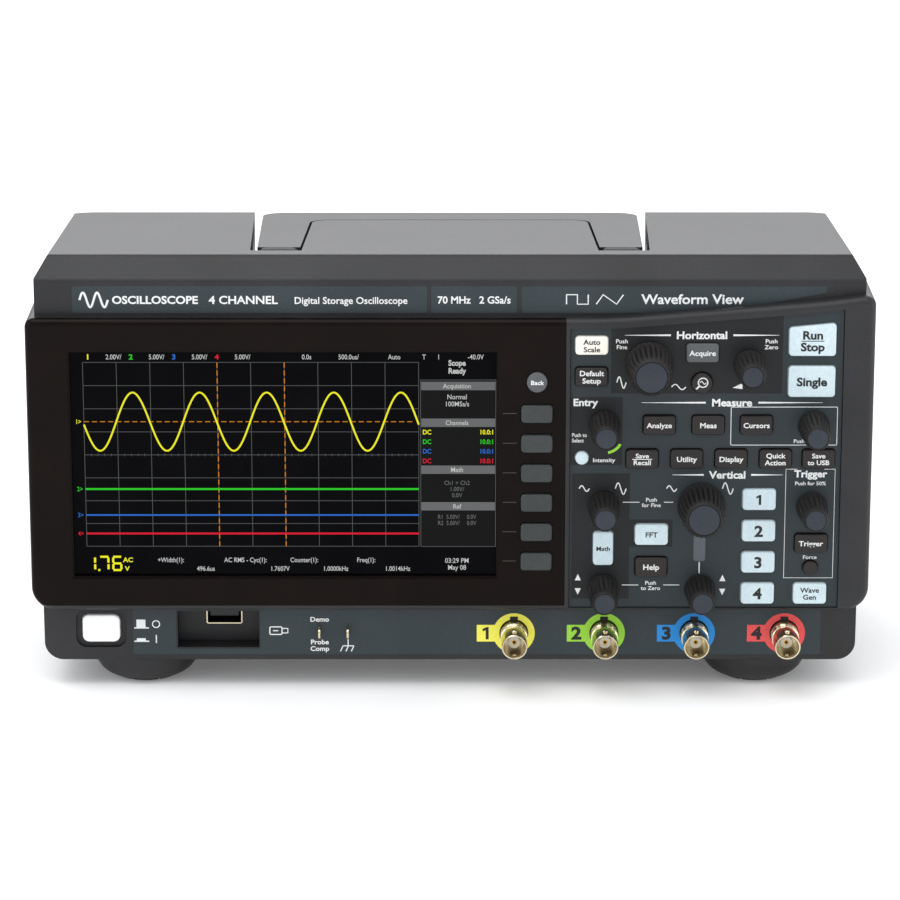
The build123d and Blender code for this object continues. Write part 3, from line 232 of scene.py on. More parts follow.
zinc_steel, steel_tree, steel_shader = new_material("spangled_zinc_steel", {"Metallic": 1.0})
spangle = add_node(
    steel_tree, "ShaderNodeTexVoronoi", {"Vector": object_place(steel_tree), "Scale": 1 / (6 * MM)}
).outputs["Color"]
steel_tone = mix_colours(steel_tree, spangle, linear("#8d9296"), linear("#b9bdc1"))
steel_tree.links.new(steel_tone, steel_shader.inputs["Base Color"])
spangle_gloss = {"Value": spangle, "To Min": 0.3, "To Max": 0.5}
spangle_rough = add_node(steel_tree, "ShaderNodeMapRange", spangle_gloss).outputs["Result"]
steel_tree.links.new(spangle_rough, steel_shader.inputs["Roughness"])

board, board_tree, board_shader = new_material(
    "green_lacquered_laminate", {"IOR": 1.55, "Roughness": 0.3}
)
tracks = {"Vector": object_place(board_tree), "Scale": 1 / (4 * MM)}
track = add_node(
    board_tree, "ShaderNodeTexVoronoi", tracks, distance="MANHATTAN"
).outputs["Distance"]
track_edge = {"Value": track, "From Min": 0.45, "From Max": 0.5}
copper = add_node(board_tree, "ShaderNodeMapRange", track_edge).outputs["Result"]
board_tree.links.new(
    mix_colours(board_tree, copper, linear("#124a2a"), linear("#1f6a3c")),
    board_shader.inputs["Base Color"],
)
print("metals and board ready")


# %% [markdown]
# ## The control panel's film
# The panel is a polyester film, printed from behind and glued to its carrier, so it is
# flat and satin. It is blue grey, with darker fields behind groups of controls. The
# fields are rectangles in the panel's own millimetres, so the material works them out
# from the place of each point, and no picture is needed.

# %% control panel film
# left, right, bottom and top of each dark field, in mm
DARK_FIELDS = {
    "horizontal": (59.5, 122.9, 116.2, 150.0),
    "entry": (44.0, 64.0, 88.7, 114.8),
    "math": (45.4, 67.0, 36.6, 85.5),
    "spectrum": (67.0, 83.1, 57.0, 67.6),
}


def panel_film():
    material, tree, shader = new_material(
        "printed_polyester_film", {"IOR": 1.64, "Specular IOR Level": 0.2}
    )
    place = object_place(tree)
    axes = add_node(tree, "ShaderNodeSeparateXYZ", {"Vector": place})
    total = None
    for left, right, bottom, top in DARK_FIELDS.values():
        inside = None
        for axis, low, high in (("X", left, right), ("Z", bottom, top)):
            centred = {0: axes.outputs[axis], 1: (low + high) / 2 * MM, 2: (high - low) / 2 * MM}
            near = add_node(tree, "ShaderNodeMath", centred, operation="COMPARE").outputs[0]
            if inside is None:
                inside = near
            else:
                product = {0: inside, 1: near}
                inside = add_node(tree, "ShaderNodeMath", product, operation="MULTIPLY").outputs[0]
        if total is None:
            total = inside
        else:
            most = {0: total, 1: inside}
            total = add_node(tree, "ShaderNodeMath", most, operation="MAXIMUM").outputs[0]
    drift = {"Vector": place, "Scale": 1 / (0.6 * MM), "Detail": 2.0}
    grain = add_node(tree, "ShaderNodeTexNoise", drift).outputs["Fac"]
    slate = mix_colours(tree, grain, linear("#242d30"), linear("#2e373a"))
    dark = mix_colours(tree, grain, linear("#131415"), linear("#1b1d1e"))
    tree.links.new(mix_colours(tree, total, slate, dark), shader.inputs["Base Color"])
    gloss = {"Value": grain, "To Min": 0.38, "To Max": 0.5}
    rough = add_node(tree, "ShaderNodeMapRange", gloss).outputs["Result"]
    tree.links.new(rough, shader.inputs["Roughness"])
    return material


film = panel_film()
label_film = textured(
    "plain_polyester_film", "#2a3337", "#343e42", 0.42, 0.6, 0.003,
    {"IOR": 1.64, "Specular IOR Level": 0.2},
)
display_glass = textured(
    "display_glass", "#020203", "#060609", 0.12, 12.0, 0.002,
    {"IOR": 1.52, "Specular IOR Level": 0.03},
)
print("dark fields:", ", ".join(DARK_FIELDS))


# %% [markdown]
# ## Finishes on the CAD nodes
# Each CAD node names a slot in the record. Every slot gets one finish here, and the mesh
# itself stays as the CAD made it.

# %% assign finishes
FINISH_OF_SLOT = {
    "charcoal_case": case_plastic, "glossy_bezel": bezel_plastic,
    "display_tray": display_glass, "slate_panel": film, "silicone_mat": mat_silicone,
    "circuit_board": board, "plated_metal": nickel, "socket_plastic": socket_plastic,
    "fan_plastic": fan_plastic, "zinc_steel": zinc_steel, "foot_rubber": foot_rubber,
    "white_button": white_button, "knob_plastic": knob_rubber, "black_key": black_key,
    "grey_key": grey_key, "lit_key": lit_key, "cream_key": cream_key,
}
for part in record["subparts"]:
    shown = frame["nodes"][part["node"]]
    finish = FINISH_OF_SLOT[part["material_slot"]]
    if part["node"].startswith("softkey"):
        finish = soft_key
    if not shown.material_slots:
        shown.data.materials.append(finish)
    for material_slot in shown.material_slots:
        material_slot.material = finish
print("finished CAD nodes:", len(record["subparts"]))


# %% [markdown]
# ## Print and flat shapes
# Legends, lines and symbols are ink a few hundredths of a millimetre thick. Each ink on
# each face is collected as one mesh, because that is how it is printed, in one pass.
# Words come from text objects, lines from curves with a thin bevel, and filled areas from
# closed flat curves. All are drawn in millimetres: x to the right, z up, facing the user.

# %% print helpers
INK = 0.06  # thickness of a printed mark


def front_place(x, y, z):
    """Turns a flat drawing in mm to face the front, with its origin at x, y, z."""
    facing = Matrix.Rotation(math.radians(90), 4, "X")
    return Matrix.Translation((x * MM, y * MM, z * MM)) @ facing @ Matrix.Scale(MM, 4)


def mesh_of(curve):
    """The mesh of a text or curve, which is removed."""
    holder = bpy.data.objects.new("drawing", curve)
    mesh = bpy.data.meshes.new_from_object(holder)
    bpy.data.objects.remove(holder)
    return mesh


def text_mesh(words, size, bold, align="CENTER"):
    curve = bpy.data.curves.new("words", "FONT")
    curve.body = words
    curve.align_x = align
    curve.size = size
    curve.offset = bold
    curve.extrude = INK / 2
    curve.resolution_u = 3
    return mesh_of(curve)


def flat_mesh(outlines, thickness=INK):
    """A closed plate from closed outlines; an outline inside another is a hole."""
    curve = bpy.data.curves.new("area", "CURVE")
    curve.dimensions = "2D"
    curve.fill_mode = "BOTH"
    curve.extrude = thickness / 2
    for outline in outlines:
        spline = curve.splines.new("POLY")
        spline.points.add(len(outline) - 1)
        for point, (x, z) in zip(spline.points, outline):
            point.co = (x, z, 0, 1)
        spline.use_cyclic_u = True
    return mesh_of(curve)


def line_mesh(points, width, closed=False):
    """A line of some width through points, as a tube pressed flat."""
    curve = bpy.data.curves.new("line", "CURVE")
    curve.dimensions = "3D"
    curve.bevel_depth = width / 2
    curve.bevel_resolution = 1
    curve.use_fill_caps = not closed
    spline = curve.splines.new("POLY")
    spline.points.add(len(points) - 1)
    for point, (x, z) in zip(spline.points, points):
        point.co = (x, z, 0, 1)
    spline.use_cyclic_u = closed
    mesh = mesh_of(curve)
    mesh.transform(Matrix.Diagonal((1, 1, INK / width, 1)))
    return mesh


def arc(x, z, radius, start, end, steps):
    """Points on an arc, between two angles in degrees."""
    angles = [math.radians(start + (end - start) * n / steps) for n in range(steps + 1)]
    return [(x + radius * math.cos(a), z + radius * math.sin(a)) for a in angles]


def rounded(left, right, bottom, top, radius):
    """Outline of a rectangle with round corners."""
    corners = (
        (right - radius, bottom + radius, -90), (right - radius, top - radius, 0),
        (left + radius, top - radius, 90), (left + radius, bottom + radius, 180),
    )
    return [p for x, z, start in corners for p in arc(x, z, radius, start, start + 90, 4)]


sample = text_mesh("H", 1.0, 0.0)
CAP_SHARE = max(v.co.y for v in sample.vertices) - min(v.co.y for v in sample.vertices)
bpy.data.meshes.remove(sample)


class Print:
    """One ink on one face. Faces look to the front and are given as a Y in mm."""

    def __init__(self, face):
        self.face = face - INK / 3
        self.bm = bmesh.new()

    def take(self, mesh, x=0.0, z=0.0):
        mesh.transform(front_place(x, self.face, z))
        self.bm.from_mesh(mesh)
        bpy.data.meshes.remove(mesh)

    def words(self, words, x, z, cap, bold=0.035, align="CENTER", wide=1.1):
        """Lines of capitals of a height, with the block's middle at x, z."""
        lines = words.split("\n")
        step = cap * 1.5
        for number, line in enumerate(lines):
            mesh = text_mesh(line, cap / CAP_SHARE, bold * cap, align)
            mesh.transform(Matrix.Diagonal((wide, 1, 1, 1)))
            rise = ((len(lines) - 1) / 2 - number) * step - cap / 2
            self.take(mesh, x, z + rise)

    def one(self, x, z, cap):
        """The figure one with a flag, which the plain face lacks."""
        outline = ((0.19, -0.52), (0.19, 0.52), (0.02, 0.52), (-0.3, 0.36), (-0.3, 0.14),
                   (-0.05, 0.26), (-0.05, -0.52))
        self.area([(x + cap * right, z + cap * up) for right, up in outline])

    def line(self, points, width, closed=False):
        self.take(line_mesh(points, width, closed))

    def area(self, *outlines):
        self.take(flat_mesh(outlines))

    def finish(self, name, material, body, slot=None):
        return make_piece(name, self.bm, [material], body, smooth=0)


def make_piece(name, bm, materials, body, smooth=35):
    """A finished piece from a bmesh, riding on its body."""
    for face in bm.faces:
        face.smooth = smooth > 0
    for edge in bm.edges:
        if edge.is_manifold and edge.calc_face_angle() > math.radians(smooth):
            edge.smooth = False
    mesh = bpy.data.meshes.new(name)
    bm.to_mesh(mesh)
    bm.free()
    for material in materials:
        mesh.materials.append(material)
    piece = bpy.data.objects.new(name, mesh)
    bpy.context.scene.collection.objects.link(piece)
    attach(piece, body)
    return piece


print(f"capitals are {CAP_SHARE:.2f} of a text's size")


# %% [markdown]
# ## Inks
# Screen-printed ink is matt and slightly uneven at its edges. One function makes each
# ink, so that they differ in colour alone.

# %% inks
def ink(name, shade, lit_shade):
    return textured(name, shade, lit_shade, 0.55, 0.4, 0.004, {"IOR": 1.5})


white_ink = ink("white_screen_ink", "#dcdedd", "#f1f2f1")
black_ink = ink("black_screen_ink", "#0a0a0b", "#151517")
grey_ink = ink("grey_screen_ink", "#4c555b", "#5a646a")
bezel_line_ink = ink("bezel_line_ink", "#3a322d", "#463d37")
CHANNEL_INKS = [
    ink("yellow_label", "#f0ea3c", "#fbf662"), ink("green_label", "#8fd12f", "#a2e23f"),
    ink("blue_label", "#0d82d2", "#1793e4"), ink("red_label", "#df3f42", "#ee5656"),
]
print("inks:", 4 + len(CHANNEL_INKS))


# %% [markdown]
# ## Knobs
# The CAD knobs have the right size and joint. The real ones have a fluted skirt that
# tapers to a soft shoulder, and a painted disc set into the end. Rings of points make
# them well: each ring is a circle whose every fourth point is pulled in to cut a flute,
# and bridging the rings makes the skirt. The flutes fade out towards the disc.

# %% knobs
OVERLAY_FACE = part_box("control_overlay")[0].y / MM
KNOB_GAP = 0.4  # knob's base off the panel
POINTS_PER_FLUTE = 4

# radius and height of each ring and the depth of its flutes, as shares of the knob's
# base radius and height
SKIRT = (
    (0.955, 0.0, 0.0), (1.0, 0.025, 0.0), (1.0, 0.06, 0.0), (0.975, 0.085, 0.07),
    (0.945, 0.3, 0.1), (0.915, 0.55, 0.105), (0.885, 0.76, 0.1), (0.845, 0.875, 0.075),
    (0.79, 0.94, 0.045), (0.735, 0.975, 0.0), (0.7, 0.992, 0.0),
)
DISC_RING = 0.68  # radius of the disc's edge
SHAFT = 3.0
SHAFT_DEPTH = 6.0


def ring(bm, radius, height, flute, points):
    """A circle of edges, with every fourth point pulled in by the flute's depth."""
    place = Matrix.Translation((0, 0, height))
    made = bmesh.ops.create_circle(bm, radius=radius, segments=points, matrix=place)["verts"]
    if flute:
        inner = 1 - flute
        bmesh.ops.scale(bm, vec=(inner, inner, 1), verts=made[::POINTS_PER_FLUTE])
    return list({edge for vert in made for edge in vert.link_edges})


def fluted_knob(node, flutes):
    low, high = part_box(node)
    x, z = (low.x + high.x) / 2 / MM, (low.z + high.z) / 2 / MM
    radius, base = (high.x - low.x) / 2 / MM, OVERLAY_FACE - KNOB_GAP
    reach = base - low.y / MM
    points = flutes * POINTS_PER_FLUTE
    bm = bmesh.new()
    rings = [ring(bm, SHAFT, -SHAFT_DEPTH, 0, points), ring(bm, SHAFT, 0, 0, points)]
    rings += [ring(bm, radius * r, reach * h, cut, points) for r, h, cut in SKIRT]
    rings.append(ring(bm, radius * DISC_RING, reach, 0, points))
    for first, second in zip(rings, rings[1:]):
        bmesh.ops.bridge_loops(bm, edges=first + second)
    back = bmesh.ops.contextual_create(bm, geom=rings[0])["faces"]
    disc = bmesh.ops.contextual_create(bm, geom=rings[-1])["faces"]
    bmesh.ops.recalc_face_normals(bm, faces=bm.faces)
    # a narrow groove round the disc, then the disc with a soft edge
    bmesh.ops.inset_region(bm, faces=disc, thickness=0.02 * radius, depth=-0.04 * radius)
    bmesh.ops.inset_region(bm, faces=disc, thickness=0.02 * radius, depth=0.0)
    bmesh.ops.inset_region(bm, faces=disc, thickness=0.01 * radius, depth=0.03 * radius)
    for face in {f for d in disc for e in d.edges for f in e.link_faces}:
        face.material_index = 1
    bmesh.ops.inset_region(bm, faces=disc, thickness=0.05 * radius, depth=0.012 * radius)
    bm.transform(front_place(x, base, z))
    finishes = [knob_rubber, disc_paint]
    knob = make_piece(f"{node}_shell", bm, finishes, body_of[node], 50)
    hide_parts(node)
    return len(knob.data.polygons)


BIG_FLUTES, SMALL_FLUTES = 26, 18
for knob_node in sorted(n for n in frame["nodes"] if n.endswith("_knob")):
    is_big = knob_node in ("horizontal_scale_knob", "vertical_scale_knob")
    faces = fluted_knob(knob_node, BIG_FLUTES if is_big else SMALL_FLUTES)
    print(knob_node, faces, "faces")


# %% [markdown]
# ## Input sockets
# A bayonet socket is turned brass with nickel plate: a threaded root, a smooth barrel
# that a plug slides over, two studs that lock it, a white insulator and a gold contact.
# Round parts are profiles spun about an axis. The profile is a closed chain of points,
# so the spun shape is closed too.

# %% lathe and sockets
STRIP = -48.8  # face of the lower and upper strips
INPUTS = [
    next(m for m in record["mounts"] if m["name"] == f"input_{n}_socket") for n in (1, 2, 3, 4)
]
INPUT_X = [mount["pos_m"][0] / MM for mount in INPUTS]
INPUT_Z = INPUTS[0]["pos_m"][2] / MM
BARREL_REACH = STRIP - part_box("front_sockets")[0].y / MM
ROUND_STEPS = 48


def spun(profile, steps=ROUND_STEPS):
    """A bmesh of a closed profile of radius and height, spun about the vertical axis."""
    bm = bmesh.new()
    points = [bm.verts.new((radius, 0, height)) for radius, height in profile]
    chain = [bm.edges.new(pair) for pair in zip(points, points[1:] + points[:1])]
    bmesh.ops.spin(
        bm, geom=points + chain, axis=(0, 0, 1), cent=(0, 0, 0), dvec=(0, 0, 0),
        angle=math.radians(360), steps=steps, use_merge=True,
    )
    bmesh.ops.remove_doubles(bm, verts=bm.verts, dist=1e-4)
    bmesh.ops.dissolve_degenerate(bm, dist=1e-5, edges=bm.edges)
    bmesh.ops.recalc_face_normals(bm, faces=bm.faces)
    return bm


def add_to(bm, other, place=None, material=0):
    """Adds one bmesh to another, moved, with its faces in a material."""
    if place:
        other.transform(place)
    for face in other.faces:
        face.material_index = material
    scratch = bpy.data.meshes.new("scratch")
    other.to_mesh(scratch)
    other.free()
    bm.from_mesh(scratch)
    bpy.data.meshes.remove(scratch)


CREST, GROOVE = 5.1, 4.88  # radii of the thread, whose pitch is 1
THREAD_TURN = ((CREST, 1.2), (CREST, 1.5), (GROOVE, 1.75), (GROOVE, 1.95))
THREAD = [(radius, height + n) for n in range(5) for radius, height in THREAD_TURN]
BARREL = (
    [(0, -3), (CREST, -3)] + THREAD + [(CREST, 6.4), (CREST, 6.8), (4.8, 7.0)]
    + [(4.8, BARREL_REACH - 0.35), (4.55, BARREL_REACH), (4.25, BARREL_REACH)]
    + [(4.05, BARREL_REACH - 0.3), (4.05, 5.2), (0, 5.2)]
)
INSULATOR_FRONT = 11.5
INSULATOR = [
    (0.9, 5.0), (2.35, 5.0), (2.35, INSULATOR_FRONT - 0.3),
    (2.1, INSULATOR_FRONT), (1.1, INSULATOR_FRONT), (0.9, INSULATOR_FRONT - 0.3),
]
CONTACT = [(0.45, 5.0), (0.95, 5.0), (0.95, 11.0), (0.8, 11.2), (0.55, 11.2), (0.45, 11.0)]
STUD = [(0, -1), (1.05, -1), (1.05, 0.55), (0.85, 0.75), (0, 0.75)]
STUD_HEIGHT = BARREL_REACH - 4.2


def input_connector(number, x):
    bm = spun(BARREL)
    add_to(bm, spun(INSULATOR, 32), material=1)
    add_to(bm, spun(CONTACT, 24), material=2)
    for side in (90, -90):
        onto = Matrix.Translation((0, 0, STUD_HEIGHT)) @ Matrix.Rotation(math.radians(side), 4, "X")
        add_to(bm, spun(STUD, 20), onto @ Matrix.Translation((0, 0, 4.75)))
    bm.transform(front_place(x, STRIP, INPUT_Z))
    piece = make_piece(
        f"input_connector_{number}", bm, [nickel, ptfe, gold], "root", 30
    )
    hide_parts("front_sockets")
    return len(piece.data.polygons)


for number, x in enumerate(INPUT_X, 1):
    print("input", number, input_connector(number, x), "faces")


# %% [markdown]
# ## Memory stick socket and probe lugs
# The memory stick's shell is folded sheet steel with rounded corners, around a black
# tongue with four contacts. The two probe lugs are stamped blades with a hole for a
# probe's hook. A box with its long edges rounded, then inset and pushed in, makes the
# shell; a flat outline with a hole in it makes a blade.

# %% memory stick socket and probe lugs
SHELL = (-85.6, 25.2, 13.6, 6.0)  # middle x and z, width, height
SHELL_FRONT = STRIP + 9.2
SHELL_LENGTH = 12.0
SHEET = 0.4


def rounded_box(width, height, length, radius):
    """A box that reaches back from zero, with its long edges rounded."""
    bm = bmesh.new()
    place = Matrix.Translation((0, 0, -length / 2)) @ Matrix.Diagonal((width, height, length, 1))
    bmesh.ops.create_cube(bm, size=1, matrix=place)
    long_edges = [e for e in bm.edges if abs(e.verts[0].co.z - e.verts[1].co.z) > length / 2]
    bmesh.ops.bevel(
        bm, geom=long_edges, offset=radius, affect="EDGES", segments=4, profile=0.5, material=-1
    )
    return bm


def front_faces(bm):
    top = max(v.co.z for v in bm.verts)
    return [f for f in bm.faces if all(abs(v.co.z - top) < 1e-4 for v in f.verts)]


def memory_socket():
    x, z, width, height = SHELL
    bm = rounded_box(width, height, SHELL_LENGTH, 0.7)
    mouth = front_faces(bm)
    bmesh.ops.inset_region(bm, faces=mouth, thickness=SHEET, depth=0.0)
    # the walls inside the shell take the black plastic, a painted shade for the inside of the
    # socket; its back wall is the black insert's own colour
    before = set(bm.faces)
    bmesh.ops.inset_region(bm, faces=mouth, thickness=0.001, depth=-SHELL_LENGTH + 1)
    for face in (set(bm.faces) - before) | set(mouth):
        face.material_index = 1
    tongue = rounded_box(10.8, 1.7, SHELL_LENGTH - 2.2, 0.25)
    add_to(bm, tongue, Matrix.Translation((0, 0.7, -1.2)), 1)
    for number in range(4):
        contact = rounded_box(1.0, 0.12, 7.0, 0.03)
        add_to(bm, contact, Matrix.Translation(((number - 1.5) * 2.3, -0.2, -2.0)), 2)
    bm.transform(front_place(x, SHELL_FRONT, z))
    finishes = [nickel, socket_plastic, gold]
    piece = make_piece("memory_socket_shell", bm, finishes, "root", 30)
    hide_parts("front_sockets")
    return len(piece.data.polygons)


LUG_X = (-49.2, -38.5)
LUG_Z = 22.5
LUG_REACH = 5.5
LUG_THICK = 0.8


def probe_lugs():
    bm = bmesh.new()
    blade = [(4.0, -2.2)] + arc(-LUG_REACH + 2.2, 0, 2.2, -90, -270, 16) + [(4.0, 2.2)]
    hole = arc(-LUG_REACH + 2.3, 0, 1.15, 0, 345, 23)
    for x in LUG_X:
        mesh = flat_mesh([blade, hole], LUG_THICK)
        # the drawing's x runs back along Y and its y runs up
        upright = Matrix(((0, 0, 1, 0), (1, 0, 0, 0), (0, 1, 0, 0), (0, 0, 0, 1)))
        shift = Matrix.Translation((x * MM, STRIP * MM, LUG_Z * MM))
        mesh.transform(shift @ upright @ Matrix.Scale(MM, 4))
        bm.from_mesh(mesh)
        bpy.data.meshes.remove(mesh)
    bmesh.ops.remove_doubles(bm, verts=bm.verts, dist=1e-6)
    bmesh.ops.bevel(
        bm, geom=[e for e in bm.edges if e.is_manifold and e.calc_face_angle() > 1.2],
        offset=0.12 * MM, affect="EDGES", segments=2, profile=0.5, material=-1,
    )
    piece = make_piece("probe_lugs", bm, [nickel], "root", 30)
    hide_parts("front_sockets")
    return len(piece.data.polygons)


print("memory socket", memory_socket(), "faces, lugs", probe_lugs(), "faces")


# %% [markdown]
# ## Labels on the two strips
# The strips carry film labels. Each label is a flat outline with a little thickness. The
# upper ones are in three lengths, and the right-hand one follows the frame, which rises
# towards its end. Their wording only says what kind of instrument this is.

# %% strip labels
LABEL_THICK = 0.3
UPPER_BOTTOM, UPPER_TOP = 145.6, 155.7


def label_plate(name, outlines):
    bm = bmesh.new()
    for outline in outlines:
        mesh = flat_mesh([outline], LABEL_THICK)
        mesh.transform(front_place(0, STRIP, 0))
        bm.from_mesh(mesh)
        bpy.data.meshes.remove(mesh)
    bmesh.ops.remove_doubles(bm, verts=bm.verts, dist=1e-6)
    rims = [e for e in bm.edges if e.is_manifold and e.calc_face_angle() > 1.2]
    bmesh.ops.bevel(
        bm, geom=rims, offset=0.08 * MM, affect="EDGES", segments=1, profile=0.5, material=-1
    )
    return make_piece(name, bm, [label_film], "root", 40)


swoop = [(139.0, 153.2), (132.0, 151.9), (118.0, 149.2), (100.0, 147.2), (80.0, UPPER_BOTTOM)]
right_label = [(26.4, UPPER_BOTTOM), (26.4, UPPER_TOP), (139.0, UPPER_TOP)] + swoop
label_plate(
    "upper_strip_labels",
    [
        rounded(-139.6, -8.4, UPPER_BOTTOM, UPPER_TOP, 0.8),
        rounded(-7.0, 24.8, UPPER_BOTTOM, UPPER_TOP, 0.8),
        right_label[::-1],
    ],
)
# the lower label runs round the memory stick's pocket
pocket = rounded(-103.3, -71.6, 15.3, 30.6, 0.5)
lower = rounded(-119.6, 139.8, 13.0, 31.6, 0.8)
bm = bmesh.new()
holes = [pocket] + [arc(x, INPUT_Z, 5.5, 0, 352.5, 47) for x in INPUT_X]
lower_mesh = flat_mesh([lower] + holes, LABEL_THICK)
lower_mesh.transform(front_place(0, STRIP, 0))
bm.from_mesh(lower_mesh)
bpy.data.meshes.remove(lower_mesh)
make_piece("lower_strip_label", bm, [label_film], "root", 40)

LABEL_FACE = STRIP - LABEL_THICK / 2


def sine(x, z, width, height, cycles=1.0, points=24, phase=0.0):
    """A sine line whose middle is at x, z."""
    steps = [n / points for n in range(points + 1)]
    return [
        (x + (s - 0.5) * width, z + height / 2 * math.sin(math.tau * (s * cycles + phase)))
        for s in steps
    ]


upper = Print(LABEL_FACE)
upper.line(sine(-131.5, 150.6, 10.5, 5.6, 2.0, 40), 0.8)
upper.words("OSCILLOSCOPE", -108.9, 150.6, 2.8, 0.04)
upper.words("4 CHANNEL", -76.3, 150.6, 2.9, 0.03)
upper.words("Digital Storage Oscilloscope", -36.6, 150.4, 2.5, 0.02, wide=1.0)
upper.words("70 MHz   2 GSa/s", 8.9, 150.6, 2.6, 0.03, wide=1.0)
# a square wave and a triangle wave
low, high = 149.0, 152.6
upper.line([(43.0, low), (43.0, high), (47.0, high), (47.0, low), (51.0, low), (51.0, high)], 0.5)
upper.line([(54.0, low), (56.5, high), (61.5, low), (64.0, high)], 0.5)
upper.words("Waveform View", 89.5, 150.9, 3.5, 0.03)
upper.finish("upper_strip_print", white_ink, "root")
print("labels on both strips")


# %% [markdown]
# ## Print on the lower strip
# Beside the power button are its two states, pushed in and released, with the usual
# circle and bar. Each input has a ring and a numbered tag in the colour of its trace, so
# that a lead and its line on the display are matched at a glance.

# %% lower strip print
small = Print(LABEL_FACE)
small.area(rounded(-118.3, -114.9, 23.6, 26.8, 0.2))
small.line([(-120.0 + 0.8, 23.5), (-113.6, 23.5)], 0.5)
small.area(rounded(-118.3, -114.9, 18.3, 19.4, 0.2))
small.line([(-120.0 + 0.8, 18.2), (-113.6, 18.2)], 0.5)
small.line(arc(-110.9, 25.0, 1.35, 0, 345, 23), 0.42, closed=True)
small.line([(-110.9, 17.5), (-110.9, 20.7)], 0.45)
# a memory stick, drawn as its body and its plug
small.line(rounded(-68.0, -63.4, 20.9, 23.9, 0.5), 0.42, closed=True)
small.line([(-63.4, 21.5), (-61.2, 21.5), (-61.2, 23.3), (-63.4, 23.3)], 0.42)
small.line([(-66.8, 22.4), (-64.8, 22.4)], 0.42)
small.words("Demo", LUG_X[0], 26.9, 1.75)
small.words("Probe\nComp", LUG_X[0], 16.6, 1.75)
small.line([(LUG_X[1], 19.0), (LUG_X[1], 16.4)], 0.4)
small.line([(LUG_X[1] - 1.9, 16.4), (LUG_X[1] + 2.2, 16.4)], 0.4)
for step in range(3):
    start = LUG_X[1] - 1.9 + 2.05 * step
    small.line([(start, 16.4), (start - 1.0, 14.2)], 0.4)
small.finish("lower_strip_print", white_ink, "root")

RING_OUTER, RING_INNER = 7.9, 5.5
TAG_HALF, TAG_REACH = 3.3, 14.0
for number, (x, label_ink) in enumerate(zip(INPUT_X, CHANNEL_INKS), 1):
    turn = math.degrees(math.asin(TAG_HALF / RING_OUTER))
    outline = arc(x, INPUT_Z, RING_OUTER, -180 + turn, 180 - turn, 48)
    outline += [(x - TAG_REACH, INPUT_Z + TAG_HALF), (x - TAG_REACH, INPUT_Z - TAG_HALF)]
    label = Print(LABEL_FACE)
    label.area(outline, arc(x, INPUT_Z, RING_INNER, 0, 352.5, 47))
    label.finish(f"input_ring_{number}", label_ink, "root")
    digit = Print(LABEL_FACE - INK / 2)
    if number == 1:
        digit.one(x - 10.4, INPUT_Z, 4.7)
    else:
        digit.words(str(number), x - 10.4, INPUT_Z, 4.6, 0.065)
    # a black patch painted where the keyway that stops the socket from turning cuts its notch, as
    # painted shade for that notch
    digit.area(rounded(x - 1.5, x + 1.5, INPUT_Z + 5.0, INPUT_Z + 6.6, 0.2))
    digit.finish(f"input_digit_and_notch_shade_{number}", black_ink, "root")
print("input labels:", len(INPUT_X))


# %% [markdown]
# ## Print on the control panel
# The panel groups its controls under headings. Each heading sits between two lines that
# taper away, boxes of thin line tie a knob to its key, and small sine waves show which
# way a scale knob stretches the trace. Captions say what a push on a knob does.

# %% control panel print
panel = Print(OVERLAY_FACE)


def heading(words, x, z, left, right):
    """A heading between two lines that taper away from it."""
    panel.words(words, x, z, 2.7, 0.045)
    for inner, outer in (left, right):
        panel.area([(inner, z - 0.35), (inner, z + 0.35), (outer, z + 0.06), (outer, z - 0.06)])


heading("Horizontal", 92.9, 138.4, (81.4, 64.5), (104.5, 121.4))
heading("Measure", 104.4, 112.7, (94.7, 70.9), (114.2, 138.0))
heading("Vertical", 103.3, 84.9, (94.4, 82.7), (112.1, 123.9))
panel.words("Entry", 50.1, 112.8, 2.6, 0.045)
panel.words("Trigger", 134.2, 85.3, 2.55, 0.045)
CAPTIONS = (
    ("Push for 50%", 134.2, 81.6, 1.35), ("Push\nFine", 63.4, 135.0, 1.5),
    ("Push\nZero", 118.6, 135.0, 1.5), ("Intensity", 57.2, 90.6, 1.5),
    ("Push", 129.6, 97.9, 1.35), ("Push\nfor Fine", 75.1, 74.2, 1.4),
    ("Push\nto Zero", 75.2, 41.8, 1.4), ("Force", 134.6, 52.9, 1.4),
)
for words, x, z, cap in CAPTIONS:
    panel.words(words, x, z, cap, 0.02)
panel.words("Push to\nSelect", 45.2, 99.2, 1.4, 0.015, align="LEFT", wide=0.9)
# each side of the captions between the math and the vertical knobs
TIES = ((64.4, 70.6, 74.3), (79.8, 83.2, 74.3), (64.4, 70.6, 42.0), (79.9, 86.0, 42.0))
for left, right, z in TIES:
    panel.line([(left, z), (right, z)], 0.28)
panel.line(rounded(104.2, 143.6, 96.4, 111.0, 0.4), 0.26, closed=True)
panel.line(
    [(129.2, 87.1), (125.0, 87.1), (125.0, 44.8), (143.3, 44.8), (143.3, 87.1), (139.3, 87.1)], 0.26
)
# tall and flat waves: volts or seconds in each division, coarse to fine
panel.line(sine(63.4, 120.4, 3.4, 4.4), 0.42)
panel.line(sine(84.6, 118.7, 5.2, 2.0), 0.42)
panel.line(sine(50.0, 79.6, 3.8, 2.2), 0.42)
panel.line(sine(63.6, 79.6, 4.0, 4.4), 0.42)
panel.line(sine(82.6, 79.6, 3.8, 2.2), 0.42)
panel.line(sine(103.5, 79.6, 4.0, 4.4), 0.42)
for x, low, high in ((47.9, 39.4, 45.1), (102.1, 39.2, 44.8)):
    panel.area([(x - 1.15, high - 1.3), (x + 1.15, high - 1.3), (x, high + 1.2)])
    panel.area([(x - 1.15, low + 1.3), (x, low - 1.2), (x + 1.15, low + 1.3)])
panel.area([(104.6, 118.4), (108.2, 120.2), (108.2, 117.9)])
panel.line([(93.3, 51.0), (93.3, 46.6)], 0.4)
panel.finish("control_panel_print", white_ink, "root")

